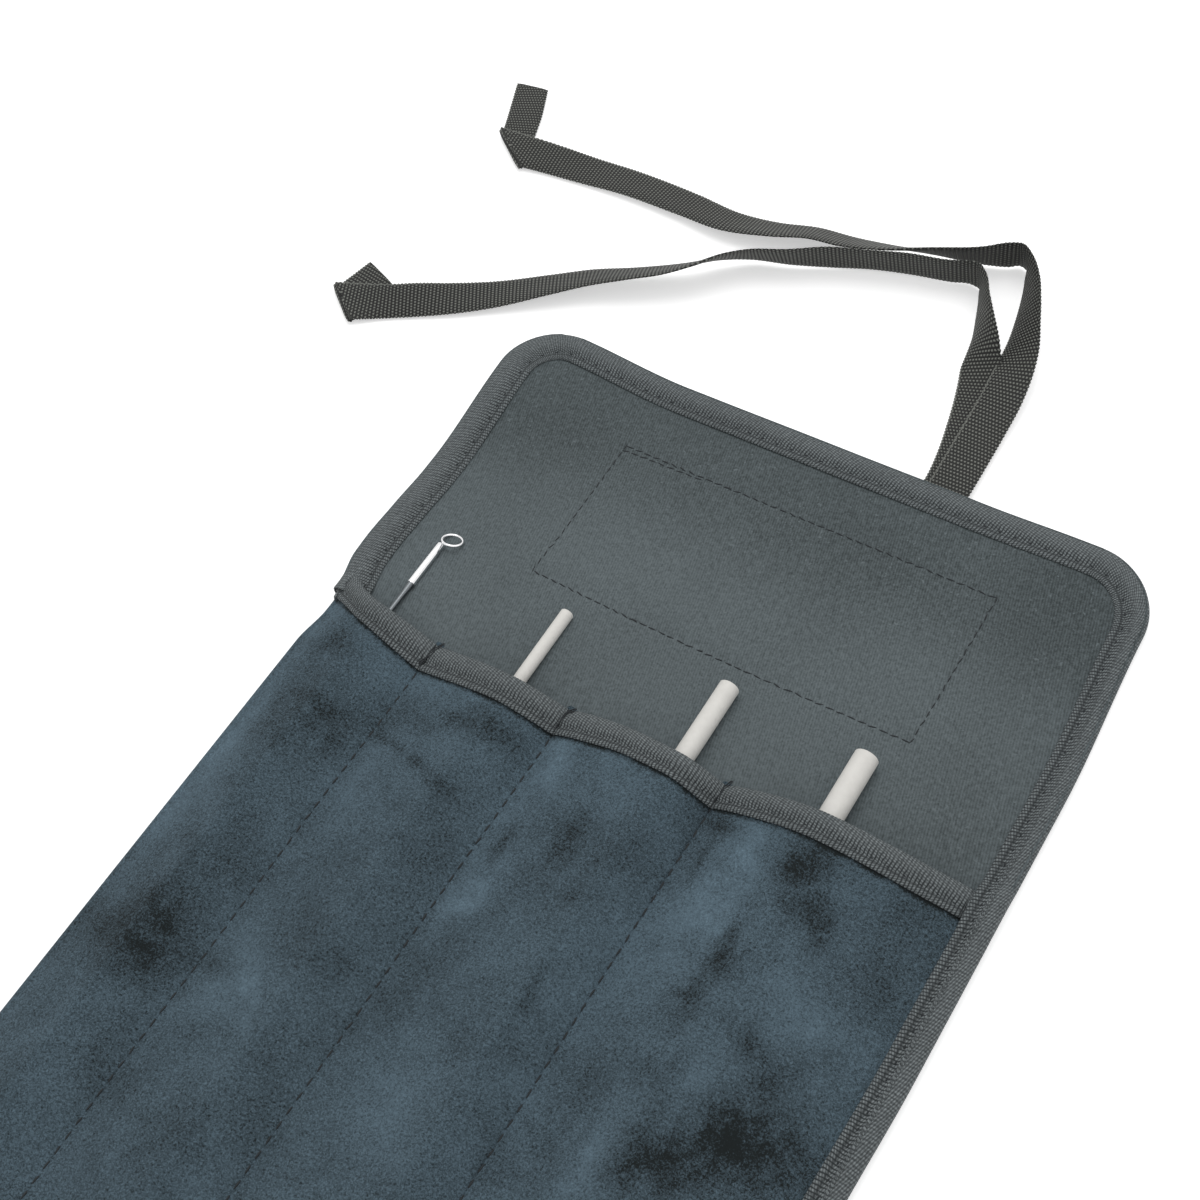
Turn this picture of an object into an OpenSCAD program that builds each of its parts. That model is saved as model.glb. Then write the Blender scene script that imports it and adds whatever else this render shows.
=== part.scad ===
// Brush roll case: a flat fabric roll with a fold-over flap, four tool pockets, two webbing ties and four tools.
// Millimetres. X runs across the pockets, Y from the pocket bottoms to the flap's end, and Z is up.
// The origin is on the table, under the middle of the opened case.
// The cloth is cut into one column for each pocket, so that the case rolls up at its divider seams,
// and each column ends in its own strip of the flap, so that the flap folds over the tools.

/* [Case] */
// Width across the flap
case_w = 220; // [210:1:230]
// Length from the bottom hem to the flap's end
case_l = 320; // [318:1:330]
// Length of the flap beyond its fold
flap_l = 74; // [72:1:76]
// Distance from the flap's end down to the pocket mouths
mouth_l = 116; // [114:1:118]
// Radius of the flap's left corner
corner_left_r = 18; // [14:1:20]
// Radius of the right corners, at the flap's end and at the hem
corner_right_r = 22; // [14:1:26]
// Divider seams, measured from the left edge
seams_at = [44, 90, 140]; // [40:1:142]
// How far the velvet's folded left edge stands in from the flap's edge
fold_inset = 3; // [2:0.5:4]

/* [Cloth] */
// Thickness of the ribbed binding tape
tape_t = 0.5; // [0.4:0.05:0.5]
// Thickness of the velvet
velvet_t = 0.9; // [0.8:0.05:0.9]
// Thickness of the twill lining
lining_t = 0.7; // [0.6:0.05:0.7]
// Thickness of the flap's padding
flap_padding_t = 2.1; // [1.8:0.1:2.1]
// Thickness of the padding behind the pockets
padding_t = 2.7; // [2.6:0.1:2.8]
// Clear gap left between neighbouring columns, and at the fold
cut_gap = 0.3; // [0.2:0.05:0.4]

/* [Binding] */
// Width of the binding across the flap's end and the bottom hem
tape_w = 10; // [9:0.5:11]
// Width of the binding down the left edge
tape_left_w = 12; // [10:0.5:13]
// Width of the binding down the right edge
tape_right_w = 8; // [7:0.5:9]
// Width of the binding round the pocket mouths
mouth_tape_w = 9; // [8:0.5:10]

/* [Pockets] */
// Tool centres, measured from the left edge
tools_at = [24.6, 72.4, 126.4, 169.6]; // [24:0.2:170]
// How far the velvet stands off the lining at each pocket's crown
pocket_rise = [5.8, 6.2, 7.4, 8.2]; // [5.6:0.1:8.4]
// Length over which a pocket flattens towards the hem
pocket_taper_l = 28; // [24:1:30]

/* [Tools] */
// Diameters of the three plain rods
rod_d = [4, 6, 7]; // [3.8:0.1:7]
// Distances from the flap's end to the rods' tips
rod_tip_l = [92, 92, 94]; // [91:0.5:96]
// Height of the tools' lower ends above the bottom hem's edge
tool_foot = 36; // [35:1:50]
// Diameter of the loop tool's ferrule
ferrule_d = 2.8; // [2.6:0.1:2.8]
// Diameter of the loop tool's shank
shank_d = 1.9; // [1.6:0.1:2]
// Outer diameter of the wire loop
loop_d = 7.2; // [6.8:0.1:7.2]
// Diameter of the loop's wire
wire_d = 0.9; // [0.7:0.1:0.9]

/* [Ties] */
// Width of the webbing
tie_w = 12.5; // [12:0.1:12.8]
// Thickness of the webbing
tie_t = 1.2; // [1:0.1:1.2]

/* [Hidden] */
$fn = 48;

half_w = case_w / 2;
top_y = case_l / 2;
bottom_y = -case_l / 2;
fold_y = top_y - flap_l;
mouth_y = top_y - mouth_l;
left_fold_x = fold_inset - half_w;
seam_x = [for (s = seams_at) s - half_w];
tool_x = [for (t = tools_at) t - half_w];

// Heights of the flap's layers: tape, outer twill, padding, lining, tape
flap_z = [0, tape_t, tape_t + lining_t, tape_t + lining_t + flap_padding_t,
          tape_t + 2 * lining_t + flap_padding_t, 2 * tape_t + 2 * lining_t + flap_padding_t];
// Heights of the pocket columns' layers: tape, velvet, padding, lining, pocket front, tape
column_z = [0, tape_t, tape_t + velvet_t, tape_t + velvet_t + padding_t,
            tape_t + velvet_t + padding_t + lining_t,
            tape_t + 2 * velvet_t + padding_t + lining_t,
            2 * tape_t + 2 * velvet_t + padding_t + lining_t];
lining_top = column_z[4];

// The half-round edge where the velvet folds from the back to the front
fold_r = (column_z[5] - column_z[1]) / 2;
fold_z = (column_z[5] + column_z[1]) / 2;
fold_x = left_fold_x + fold_r;

// A pocket's arch: steps on each side of its crown, and how fast it falls away
arch_steps = 6;
arch_power = 1.8;
// Where pocket four lies flat again, just inside the right binding
arch_right_x = half_w - 10;
// Rows along a pocket's length, as shares of the taper
taper_rows = [0, 0.25, 0.5, 0.75, 1];

tool_gap = 0.05;
tool_end_y = bottom_y + tool_foot;
rod_chamfer = 0.3;
ferrule_tip_y = top_y - 88.4;
ferrule_l = 16.3;
ferrule_neck_l = 2;
loop_offset = [2.4, 2.2, 0.15];
loop_tilt = -20;

// Ties: each station is [x, y, z, turn, tilt, stretch]. turn is the plan angle and tilt the slope of the line across
// the webbing, in degrees, and stretch lengthens that line where the webbing is creased at an angle.
tie_upper_route = [
    [37.5, 160, 2.1, 0, 0, 1], [37.3, 172, 2.2, 0, -1, 1], [37.1, 184, 2.6, 1, -1, 1], [37, 194.5, 3.9, 4, 2, 1],
    [36.2, 204, 5.3, 7, 13, 1], [34.8, 212, 5.6, 11, 28, 1], [32.2, 221, 5.6, 15, 46, 1], [29.6, 229, 6.1, 19, 57, 1],
    [26.5, 237, 6.6, 25, 68, 1], [23.3, 243, 6.8, 33, 81, 1], [20, 247.7, 6.8, 54, 98, 1], [18.4, 248.2, 6.8, 93, 100, 1],
    [14.8, 246.6, 6.8, 108, 98, 1], [7.9, 243.2, 6.7, 110, 108, 1], [-7.4, 238, 7, 107, 125, 1],
    [-22.6, 232.9, 7.2, 104, 142, 1], [-34.8, 231.9, 5.3, 93, 149, 1], [-47, 231.5, 4.4, 98, 151, 1],
    [-60, 228.2, 3.7, 101, 155, 1], [-75.7, 226.4, 2.5, 91, 164, 1], [-93.2, 228.1, 1.6, 84, 171, 1],
    [-117.4, 229.2, 1.2, 90, 175, 1], [-133.6, 228.6, 0.9, 92, 180, 1], [-150, 227.4, 1.7, 97, 188, 1],
    [-165.3, 226.4, 2.1, 143, 185, 1.65], [-165.9, 225.6, 1.4, 143, 182, 1.65], [-165.3, 226.4, 0.7, 143, 180, 1.65],
    [-169.2, 238.5, 0.7, 190, 180, 1], [-176.8, 256.9, 0.7, 186, 180, 1]
];
tie_lower_route = [
    [35.5, 160, 0.75, 0, 0, 1], [34.3, 171, 0.75, 5, 0, 1], [32.1, 182, 0.8, 10, 0, 1], [29.8, 191.5, 1, 14, 2, 1],
    [27.6, 199, 1.4, 17, 6, 1], [25.4, 205, 2.7, 20, 18, 1], [23.4, 210, 4.7, 22, 40, 1], [20.4, 216.5, 6.2, 25, 61, 1],
    [16.9, 223.4, 6.7, 27, 73, 1], [13.1, 231, 6.9, 36, 83, 1], [10.4, 234.5, 6.9, 60, 95, 1], [7.9, 234.7, 6.9, 91, 99, 1],
    [1, 232.7, 6.8, 102, 102, 1], [-11.5, 230.2, 6.8, 103, 103, 1], [-24, 226.5, 6.8, 108, 106, 1],
    [-36, 222.1, 6.9, 112, 104, 1], [-48, 216.7, 6.9, 112, 112, 1], [-60.4, 212.1, 7, 116, 120, 1],
    [-67.5, 206.9, 7.7, 128, 127, 1], [-74.8, 199.8, 7.8, 128, 138, 1], [-82, 195.1, 6.7, 121, 146, 1],
    [-92, 189.5, 5.8, 118, 150, 1], [-103.8, 183.5, 4.5, 119, 157, 1], [-114.5, 176.4, 3.4, 124, 163, 1],
    [-131.7, 164.8, 1.8, 122, 176, 1], [-143.5, 157.3, 2, 120, 186, 1], [-153.7, 151.6, 2.3, 119, 194, 1],
    [-162.2, 147, 2.3, 120, 195, 1], [-176.5, 140.5, 2.4, 143, 184, 1.4], [-177.2, 139.7, 1.5, 143, 182, 1.4],
    [-176.5, 140.5, 0.8, 143, 180, 1.4], [-173.5, 157.5, 0.8, 159, 180, 1.1]
];

COLUMNS = [1, 2, 3, 4];
COLUMN_PARTS = ["pocket_back_", "upper_back_", "padding_", "lining_", "pocket_front_", "mouth_binding_",
                "back_binding_", "edge_binding_", "flap_back_", "flap_padding_", "flap_lining_", "flap_binding_"];

// ---- plan shapes ----

// Left and right limits of column i's cloth, cut back by half the gap at each seam
function cut_left(i, edge) = i == 1 ? edge : seam_x[i - 2] + cut_gap / 2;
function cut_right(i, edge) = i == 4 ? edge : seam_x[i - 1] - cut_gap / 2;

// A block between two heights, over column i and from y0 to y1
module column_block(i, y0, y1, z0, z1, left = -half_w, right = half_w) {
    x0 = cut_left(i, left);
    translate([x0, y0, z0]) cube([cut_right(i, right) - x0, y1 - y0, z1 - z0]);
}

// The waste outside a rounded corner of radius r whose square corner is at the origin, towards -X and +Y
module corner_waste(r) {
    difference() {
        translate([-1, -r]) square([r + 1, r + 1]);
        translate([r, -r]) circle(r);
    }
}

// The flap's outline, set in from its left, right and end edges, and reaching down to y0
module flap_outline(left, right, end, y0) {
    difference() {
        translate([left - half_w, y0]) square([case_w - left - right, top_y - end - y0]);
        translate([left - half_w, top_y - end]) corner_waste(corner_left_r - end);
        translate([half_w - right, top_y - end]) mirror([1, 0]) corner_waste(corner_right_r - end);
    }
}

// The lower outline, set in from its left, right and hem edges, and reaching up to the fold
module hem_outline(left, right, hem) {
    difference() {
        translate([left - half_w, bottom_y + hem]) square([case_w - left - right, fold_y - bottom_y - hem]);
        translate([half_w - right, bottom_y + hem]) rotate(180) corner_waste(corner_right_r - hem);
    }
}

// What is left of column four inside its outline, set in on the right and at the hem; the other columns stay whole
module trimmed(i, right = tape_t, hem = tape_t) {
    if (i == 4) intersection() {
        children();
        translate([0, 0, -1]) linear_extrude(column_z[6] + pocket_rise[3] + 2) hem_outline(0, right, hem);
    }
    else children();
}

// One layer of the flap's cloth, inside the binding's outer wall
module flap_layer(i, level) {
    intersection() {
        translate([0, 0, flap_z[level]]) linear_extrude(flap_z[level + 1] - flap_z[level])
            flap_outline(tape_t, tape_t, tape_t, fold_y + cut_gap / 2);
        column_block(i, fold_y, top_y, 0, flap_z[5]);
    }
}

// One layer of a column's cloth, from the hem to the fold; column one narrows to the velvet's fold below the mouth
module column_layer(i, level) {
    z0 = column_z[level];
    z1 = column_z[level + 1];
    trimmed(i) column_block(i, bottom_y + tape_t, mouth_y, z0, z1, fold_x, half_w - tape_t);
    column_block(i, mouth_y, fold_y - cut_gap / 2, z0, z1, tape_t - half_w, half_w - tape_t);
}

// ---- pocket arches ----

// The arch's two feet in pocket i
function arch_left(i) = cut_left(i, fold_x);
function arch_right(i) = cut_right(i, arch_right_x);

// Stations across pocket i, from foot to foot, closer together where the crown is off centre
function arch_x(i) = [for (k = [-arch_steps:arch_steps])
    tool_x[i - 1] + abs(k) / arch_steps * (k < 0 ? arch_left(i) - tool_x[i - 1] : arch_right(i) - tool_x[i - 1])];
function arch_height(i) = [for (k = [-arch_steps:arch_steps])
    pocket_rise[i - 1] * (1 - pow(abs(k) / arch_steps, arch_power))];

// How much of the rise is left at a share of the taper
function taper(share) = (1 + cos(180 * share)) / 2;

// A closed sheet over stations xs with heights hs, between two offsets from the arch, through rows of [y, share of rise]
module arch_sheet(xs, hs, rows, low, high) {
    n = len(xs);
    m = len(rows);
    layer = [for (offset = [low, high]) for (row = rows) for (k = [0:n - 1])
        [xs[k], row[0], lining_top + hs[k] * row[1] + offset]];
    function at(side, j, k) = side * n * m + j * n + k;
    low_faces = [for (j = [0:m - 2]) for (k = [0:n - 2]) [at(0, j, k), at(0, j, k + 1), at(0, j + 1, k + 1), at(0, j + 1, k)]];
    high_faces = [for (j = [0:m - 2]) for (k = [0:n - 2]) [at(1, j, k), at(1, j + 1, k), at(1, j + 1, k + 1), at(1, j, k + 1)]];
    first_row = [for (k = [0:n - 2]) [at(0, 0, k), at(1, 0, k), at(1, 0, k + 1), at(0, 0, k + 1)]];
    last_row = [for (k = [0:n - 2]) [at(0, m - 1, k), at(0, m - 1, k + 1), at(1, m - 1, k + 1), at(1, m - 1, k)]];
    first_side = [for (j = [0:m - 2]) [at(0, j, 0), at(0, j + 1, 0), at(1, j + 1, 0), at(1, j, 0)]];
    last_side = [for (j = [0:m - 2]) [at(0, j, n - 1), at(1, j, n - 1), at(1, j + 1, n - 1), at(0, j + 1, n - 1)]];
    polyhedron(layer, concat(low_faces, high_faces, first_row, last_row, first_side, last_side), convexity = 6);
}

// Rows of a pocket front: flat under the hem, rising over the taper, full height up to the mouth
function front_rows() = concat(
    [[bottom_y + tape_t, 0]],
    [for (share = [1, 0.75, 0.5, 0.25, 0]) [bottom_y + tape_w + (1 - share) * pocket_taper_l, taper(share)]],
    [[mouth_y - mouth_tape_w, 1], [mouth_y, 1]]);

// Adds a flat end at x to the stations or heights of pocket four, whose cloth runs on under the right binding
function with_tail(i, list, value) = i == 4 ? concat(list, [value]) : list;

// A half-round strip along Y about the velvet's folded edge
module folded_edge(y0, y1, inner_r, outer_r) {
    translate([fold_x, y1, fold_z]) rotate([90, 0, 0]) linear_extrude(y1 - y0) difference() {
        circle(outer_r);
        circle(inner_r);
        translate([0, -outer_r - 1]) square([outer_r + 1, 2 * outer_r + 2]);
    }
}

// ---- the columns' pieces ----

module pocket_back(i) {
    color("#2b3a48") trimmed(i)
        column_block(i, bottom_y + tape_t, mouth_y, column_z[1], column_z[2], fold_x, half_w - tape_t);
}

module upper_back(i) {
    color("#40484b") column_block(i, mouth_y + tape_t, fold_y - cut_gap / 2, column_z[1], column_z[2],
                                  tape_t - half_w, half_w - tape_t);
}

module padding(i) {
    color("#8c8f90") column_layer(i, 2);
}

module lining(i) {
    color("#40484b") column_layer(i, 3);
}

module pocket_front(i) {
    color("#2f4052") {
        trimmed(i) arch_sheet(with_tail(i, arch_x(i), half_w - tape_t), with_tail(i, arch_height(i), 0),
                              front_rows(), 0, velvet_t);
        if (i == 1) folded_edge(bottom_y + tape_t, mouth_y, fold_r - velvet_t, fold_r);
    }
}

mouth_tape_y = mouth_y - mouth_tape_w;
mouth_tape_end_x = half_w - tape_right_w - cut_gap;

// The binding round a pocket's mouth: a leg over the front, a nose and a leg inside
module mouth_binding(i) {
    xs = arch_x(i);
    hs = arch_height(i);
    low_y = mouth_tape_y;
    tail_x = mouth_tape_end_x;
    inside = [for (k = [1:2 * arch_steps - 1]) k];
    color("#454c4f") {
        arch_sheet(with_tail(i, xs, tail_x), with_tail(i, hs, 0), [[low_y, 1], [mouth_y, 1]], velvet_t, velvet_t + tape_t);
        arch_sheet(with_tail(i, xs, tail_x), with_tail(i, hs, 0), [[mouth_y, 1], [mouth_y + tape_t, 1]], 0, velvet_t + tape_t);
        arch_sheet([for (k = inside) xs[k]], [for (k = inside) hs[k]], [[low_y, 1], [mouth_y + tape_t, 1]], -tape_t, 0);
        if (i == 1) folded_edge(low_y, mouth_y, fold_r, fold_r + tape_t);
    }
}

// The same binding carried on round the back
module back_binding(i) {
    color("#454c4f") {
        column_block(i, mouth_tape_y, mouth_y + tape_t, 0, column_z[1], fold_x, mouth_tape_end_x);
        column_block(i, mouth_y, mouth_y + tape_t, 0, column_z[2], fold_x, mouth_tape_end_x);
    }
}

// A U of tape down a side edge, open towards the case's middle
module side_tape(y0, y1, top, x0, w, core_x0) {
    difference() {
        translate([x0, y0, 0]) cube([w, y1 - y0, top]);
        translate([core_x0, y0 - 1, tape_t]) cube([w + 1 - tape_t, y1 - y0 + 2, top - 2 * tape_t]);
    }
}

// The hem's tape, which runs round the right corner and up column four's edge as far as the mouth
module hem_tape(i) {
    intersection() {
        difference() {
            linear_extrude(column_z[6]) difference() {
                hem_outline(0, 0, 0);
                hem_outline(-1, tape_right_w, tape_w);
            }
            translate([0, 0, tape_t]) linear_extrude(column_z[6] - 2 * tape_t) hem_outline(-1, tape_t, tape_t);
        }
        column_block(i, bottom_y, i == 4 ? mouth_y + tape_t : bottom_y + tape_w, 0, column_z[6], left_fold_x, half_w);
    }
}

// The hem's binding; above column four's mouth, where the velvet ends, its top leg steps down
module edge_binding(i) {
    color("#454c4f") {
        hem_tape(i);
        if (i == 4) side_tape(mouth_y + tape_t, fold_y - cut_gap / 2, lining_top + tape_t,
                              half_w - tape_right_w, tape_right_w, half_w - tape_right_w - 1);
    }
}

// The left edge's binding, from the fold down to the mouth, where the folded velvet takes over
module side_binding() {
    color("#454c4f") side_tape(mouth_y + 2 * tape_t, fold_y - cut_gap / 2, lining_top + tape_t,
                               -half_w, tape_left_w, tape_t - half_w);
}

// ---- the flap's pieces ----

module flap_back(i) {
    color("#3d4548") flap_layer(i, 1);
}

module flap_padding(i) {
    color("#8c8f90") flap_layer(i, 2);
}

module flap_lining(i) {
    color("#40484b") flap_layer(i, 3);
}

// The binding round the flap's end and its rounded corners, a U in section
module flap_binding(i) {
    color("#454c4f") intersection() {
        difference() {
            linear_extrude(flap_z[5]) difference() {
                flap_outline(0, 0, 0, fold_y + cut_gap / 2);
                flap_outline(tape_left_w, tape_right_w, tape_w, fold_y - 1);
            }
            translate([0, 0, tape_t]) linear_extrude(flap_z[4] - tape_t)
                flap_outline(tape_t, tape_t, tape_t, fold_y - 1);
        }
        column_block(i, fold_y, top_y, 0, flap_z[5]);
    }
}

// ---- the tools ----

// A turned piece lying along Y: profile gives [radius, distance from its tip]
module along_y(x, z, tip_y, profile) {
    translate([x, tip_y, z]) rotate([90, 0, 0]) rotate_extrude()
        polygon(concat([[0, profile[0][1]]], profile, [[0, profile[len(profile) - 1][1]]]));
}

module rod(k) {
    r = rod_d[k] / 2;
    tip_y = top_y - rod_tip_l[k];
    l = tip_y - tool_end_y;
    color("#c9c6c1") along_y(tool_x[k + 1], lining_top + tool_gap + r, tip_y,
        [[r - rod_chamfer, 0], [r, rod_chamfer], [r, l - rod_chamfer], [r - rod_chamfer, l]]);
}

tool_axis_z = lining_top + tool_gap + ferrule_d / 2;

module loop_wire() {
    at = [tool_x[0], ferrule_tip_y, tool_axis_z] + loop_offset;
    color("#d9dcde") translate(at) rotate([loop_tilt, 0, 0]) rotate_extrude()
        translate([(loop_d - wire_d) / 2, 0]) circle(wire_d / 2);
}

module loop_ferrule() {
    r = ferrule_d / 2;
    color("#e4e6e8") along_y(tool_x[0], tool_axis_z, ferrule_tip_y,
        [[r - 0.5, 0], [r, 0.7], [r, ferrule_l], [shank_d / 2 + 0.2, ferrule_l + ferrule_neck_l]]);
}

module loop_shank() {
    r = shank_d / 2;
    start_y = ferrule_tip_y - ferrule_l - ferrule_neck_l;
    l = start_y - tool_end_y;
    color("#9a9c9e") along_y(tool_x[0], tool_axis_z, start_y, [[r, 0], [r, l - 0.5], [r - 0.5, l]]);
}

// ---- the ties ----

function unit(v) = v / norm(v);

// The line across the webbing at a station, as a vector
function across(s) = [cos(s[4]) * cos(s[3]), cos(s[4]) * sin(s[3]), sin(s[4])];
function place(s) = [s[0], s[1], s[2]];

// The four corners of the webbing's section at station k
function tie_ring(route, k) =
    let (back = place(route[max(k - 1, 0)]), ahead = place(route[min(k + 1, len(route) - 1)]),
         side = across(route[k]) * tie_w / 2 * route[k][5],
         face = unit(cross(across(route[k]), ahead - back)) * tie_t / 2)
    [for (c = [side + face, side - face, -side - face, face - side]) place(route[k]) + c];

module tie(route) {
    n = len(route);
    points = [for (k = [0:n - 1]) for (p = tie_ring(route, k)) p];
    walls = [for (k = [0:n - 2]) for (c = [0:3]) let (a = 4 * k + c, b = 4 * k + (c + 1) % 4)
        each c < 2 ? [[a, b, b + 4], [a, b + 4, a + 4]] : [[a, b, a + 4], [b, b + 4, a + 4]]];
    color("#35393a") polyhedron(points, concat(walls, [[3, 2, 1, 0]], [[for (c = [0:3]) 4 * (n - 1) + c]]), convexity = 8);
}

// ---- nodes ----

for (i = COLUMNS) {
    pocket_back(i);
    upper_back(i);
    padding(i);
    lining(i);
    pocket_front(i);
    mouth_binding(i);
    back_binding(i);
    edge_binding(i);
    flap_back(i);
    flap_padding(i);
    flap_lining(i);
    flap_binding(i);
}
side_binding();
rod(0);  // rod_small
rod(1);  // rod_medium
rod(2);  // rod_large
loop_wire();
loop_ferrule();
loop_shank();
tie(tie_upper_route);  // tie_upper
tie(tie_lower_route);  // tie_lower
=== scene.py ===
"""Brush roll case: cloth, webbing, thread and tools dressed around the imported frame.

Every length in the classes is in millimetres, in the frame's own axes: X runs across the pockets, Y from
the hem to the flap's end, and Z is up. Meshes are written in metres.
"""

import logging
import math
from dataclasses import dataclass, field
from enum import Enum
from typing import Optional, Sequence, Union

import bmesh
import bpy
import numpy as np
from mathutils import Matrix, Vector


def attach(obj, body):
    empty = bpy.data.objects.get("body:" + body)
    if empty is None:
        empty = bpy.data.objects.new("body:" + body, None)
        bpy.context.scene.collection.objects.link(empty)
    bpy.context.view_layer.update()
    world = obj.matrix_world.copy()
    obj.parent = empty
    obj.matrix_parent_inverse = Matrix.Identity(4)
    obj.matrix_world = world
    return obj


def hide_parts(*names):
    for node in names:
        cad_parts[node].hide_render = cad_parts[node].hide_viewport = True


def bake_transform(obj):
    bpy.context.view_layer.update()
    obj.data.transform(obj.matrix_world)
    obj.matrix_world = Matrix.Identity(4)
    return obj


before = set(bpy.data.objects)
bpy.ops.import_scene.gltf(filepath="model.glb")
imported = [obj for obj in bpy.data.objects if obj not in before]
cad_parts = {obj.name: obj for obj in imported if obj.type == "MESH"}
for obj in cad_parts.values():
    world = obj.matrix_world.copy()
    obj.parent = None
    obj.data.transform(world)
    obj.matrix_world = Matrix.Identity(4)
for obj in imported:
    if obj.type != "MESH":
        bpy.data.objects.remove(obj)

LOG = logging.getLogger("brush_roll")
MM = 0.001
COLUMNS = (1, 2, 3, 4)
# Which point of a tape's section lies in the stitched groove.
GROOVE = 6
Values = Union[float, np.ndarray]
Grid = np.ndarray
Tree = bpy.types.NodeTree
Node = bpy.types.Node
Piece = bpy.types.Object
Finish = bpy.types.Material


# ---- shared tools ----


def linear(colour: str) -> tuple[float, float, float, float]:
    """Turns an sRGB hex colour to a linear RGBA one.

    Args:
        colour: six hex digits after a hash.

    Returns:
        Linear red, green, blue and an alpha of 1.
    """
    parts = [int(colour[k : k + 2], 16) / 255 for k in (1, 3, 5)]
    red, green, blue = (c / 12.92 if c <= 0.04045 else ((c + 0.055) / 1.055) ** 2.4 for c in parts)
    return red, green, blue, 1.0


def add(tree: Tree, kind: str, *inputs: object, named: Optional[dict] = None, **settings: object) -> Node:
    """Adds a node with its settings and links.

    Args:
        tree: the node tree that it joins.
        kind: the node's type.
        inputs: values, sockets or nodes for its inputs in order; None leaves one as it is.
        named: values, sockets or nodes for inputs by name.
        settings: the node's own properties.

    Returns:
        The new node.
    """
    node = tree.nodes.new(kind)
    for key, value in settings.items():
        setattr(node, key, value)
    for key, value in [*enumerate(inputs), *(named or {}).items()]:
        if value is None:
            continue
        if isinstance(value, Node):
            value = value.outputs[0]
        if isinstance(value, bpy.types.NodeSocket):
            tree.links.new(value, node.inputs[key])
        else:
            node.inputs[key].default_value = value
    return node


def maths(tree: Tree, operation: str, *inputs: object, clamp: bool = False) -> Node:
    """Adds a sum on values, sockets or nodes, kept between 0 and 1 if clamp is set."""
    return add(tree, "ShaderNodeMath", *inputs, operation=operation, use_clamp=clamp)


def ridge(tree: Tree, phase: object) -> Node:
    """Adds the size of a sine: a row of rounded ridges, one for each half turn."""
    return maths(tree, "ABSOLUTE", maths(tree, "SINE", phase))


def ranged(tree: Tree, *inputs: object) -> Node:
    """Adds a map of a value from one range, given by its two ends, to another."""
    return add(tree, "ShaderNodeMapRange", *inputs)


def noise(tree: Tree, at: object, scale: float, *detail: float, distortion: float = 0.0) -> Node:
    """Adds a noise at a place, with its detail and then its roughness if they're given."""
    return add(tree, "ShaderNodeTexNoise", at, None, scale, *detail, named={"Distortion": distortion})


def scaled(tree: Tree, value: object, by: object) -> Node:
    """Adds a vector or colour times a number."""
    return add(tree, "ShaderNodeVectorMath", value, operation="SCALE", named={"Scale": by})


def place_mm(tree: Tree) -> Node:
    """Adds the place on the piece, in millimetres."""
    return scaled(tree, add(tree, "ShaderNodeTexCoord").outputs["Object"], 1 / MM)


def weave_place(tree: Tree) -> tuple[bpy.types.NodeSocket, bpy.types.NodeSocket]:
    """Adds the place in the weave, in millimetres. Returns how far along and how far across it is."""
    parts = add(tree, "ShaderNodeSeparateXYZ", add(tree, "ShaderNodeUVMap", uv_map="weave")).outputs
    return parts[0], parts[1]


def cleared(owner: Union[Finish, bpy.types.World]) -> Tree:
    """Turns a finish or a world to nodes. Returns its empty tree."""
    owner.use_nodes = True
    owner.node_tree.nodes.clear()
    return owner.node_tree


def linked(name: str, data: bpy.types.ID) -> Piece:
    """Makes an object of some data and links it to the scene."""
    made = bpy.data.objects.new(name, data)
    bpy.context.scene.collection.objects.link(made)
    return made


def distances(points: Grid) -> np.ndarray:
    """How far along a line each of its points is."""
    return np.concatenate([[0], np.cumsum(np.linalg.norm(np.diff(points, axis=0), axis=1))])


def unit(vectors: Grid) -> Grid:
    """Vectors cut to a length of one, one in each row."""
    return vectors / np.linalg.norm(vectors, axis=-1)[..., None]


def smooth(low: float, high: float, value: Values) -> Values:
    """A smooth step from 0 at low to 1 at high."""
    share = np.clip((np.asarray(value, float) - low) / (high - low), 0, 1)
    return share * share * (3 - 2 * share)


def new_object(name: str, vertices: Grid, faces: Sequence, material: Finish, smooth_deg: float = 50) -> Piece:
    """Makes a mesh object at the origin from points in millimetres.

    Args:
        name: the piece's name.
        vertices: points, one row each.
        faces: tuples of point numbers.
        material: the piece's finish.
        smooth_deg: edges sharper than this stay crisp.

    Returns:
        The new object, linked to the scene, its faces pointing outwards.
    """
    mesh = bpy.data.meshes.new(name)
    mesh.from_pydata((np.asarray(vertices, float) * MM).tolist(), [], [tuple(map(int, f)) for f in faces])
    work = bmesh.new()
    work.from_mesh(mesh)
    bmesh.ops.recalc_face_normals(work, faces=work.faces)
    work.to_mesh(mesh)
    work.free()
    mesh.shade_smooth()
    mesh.set_sharp_from_angle(angle=math.radians(smooth_deg))
    mesh.materials.append(material)
    return linked(name, mesh)


def strips(numbers: Grid) -> np.ndarray:
    """The quads of a grid of point numbers, as rows of four."""
    quads = np.stack([numbers[:-1, :-1], numbers[:-1, 1:], numbers[1:, 1:], numbers[1:, :-1]], -1)
    return quads.reshape(-1, 4)


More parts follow.
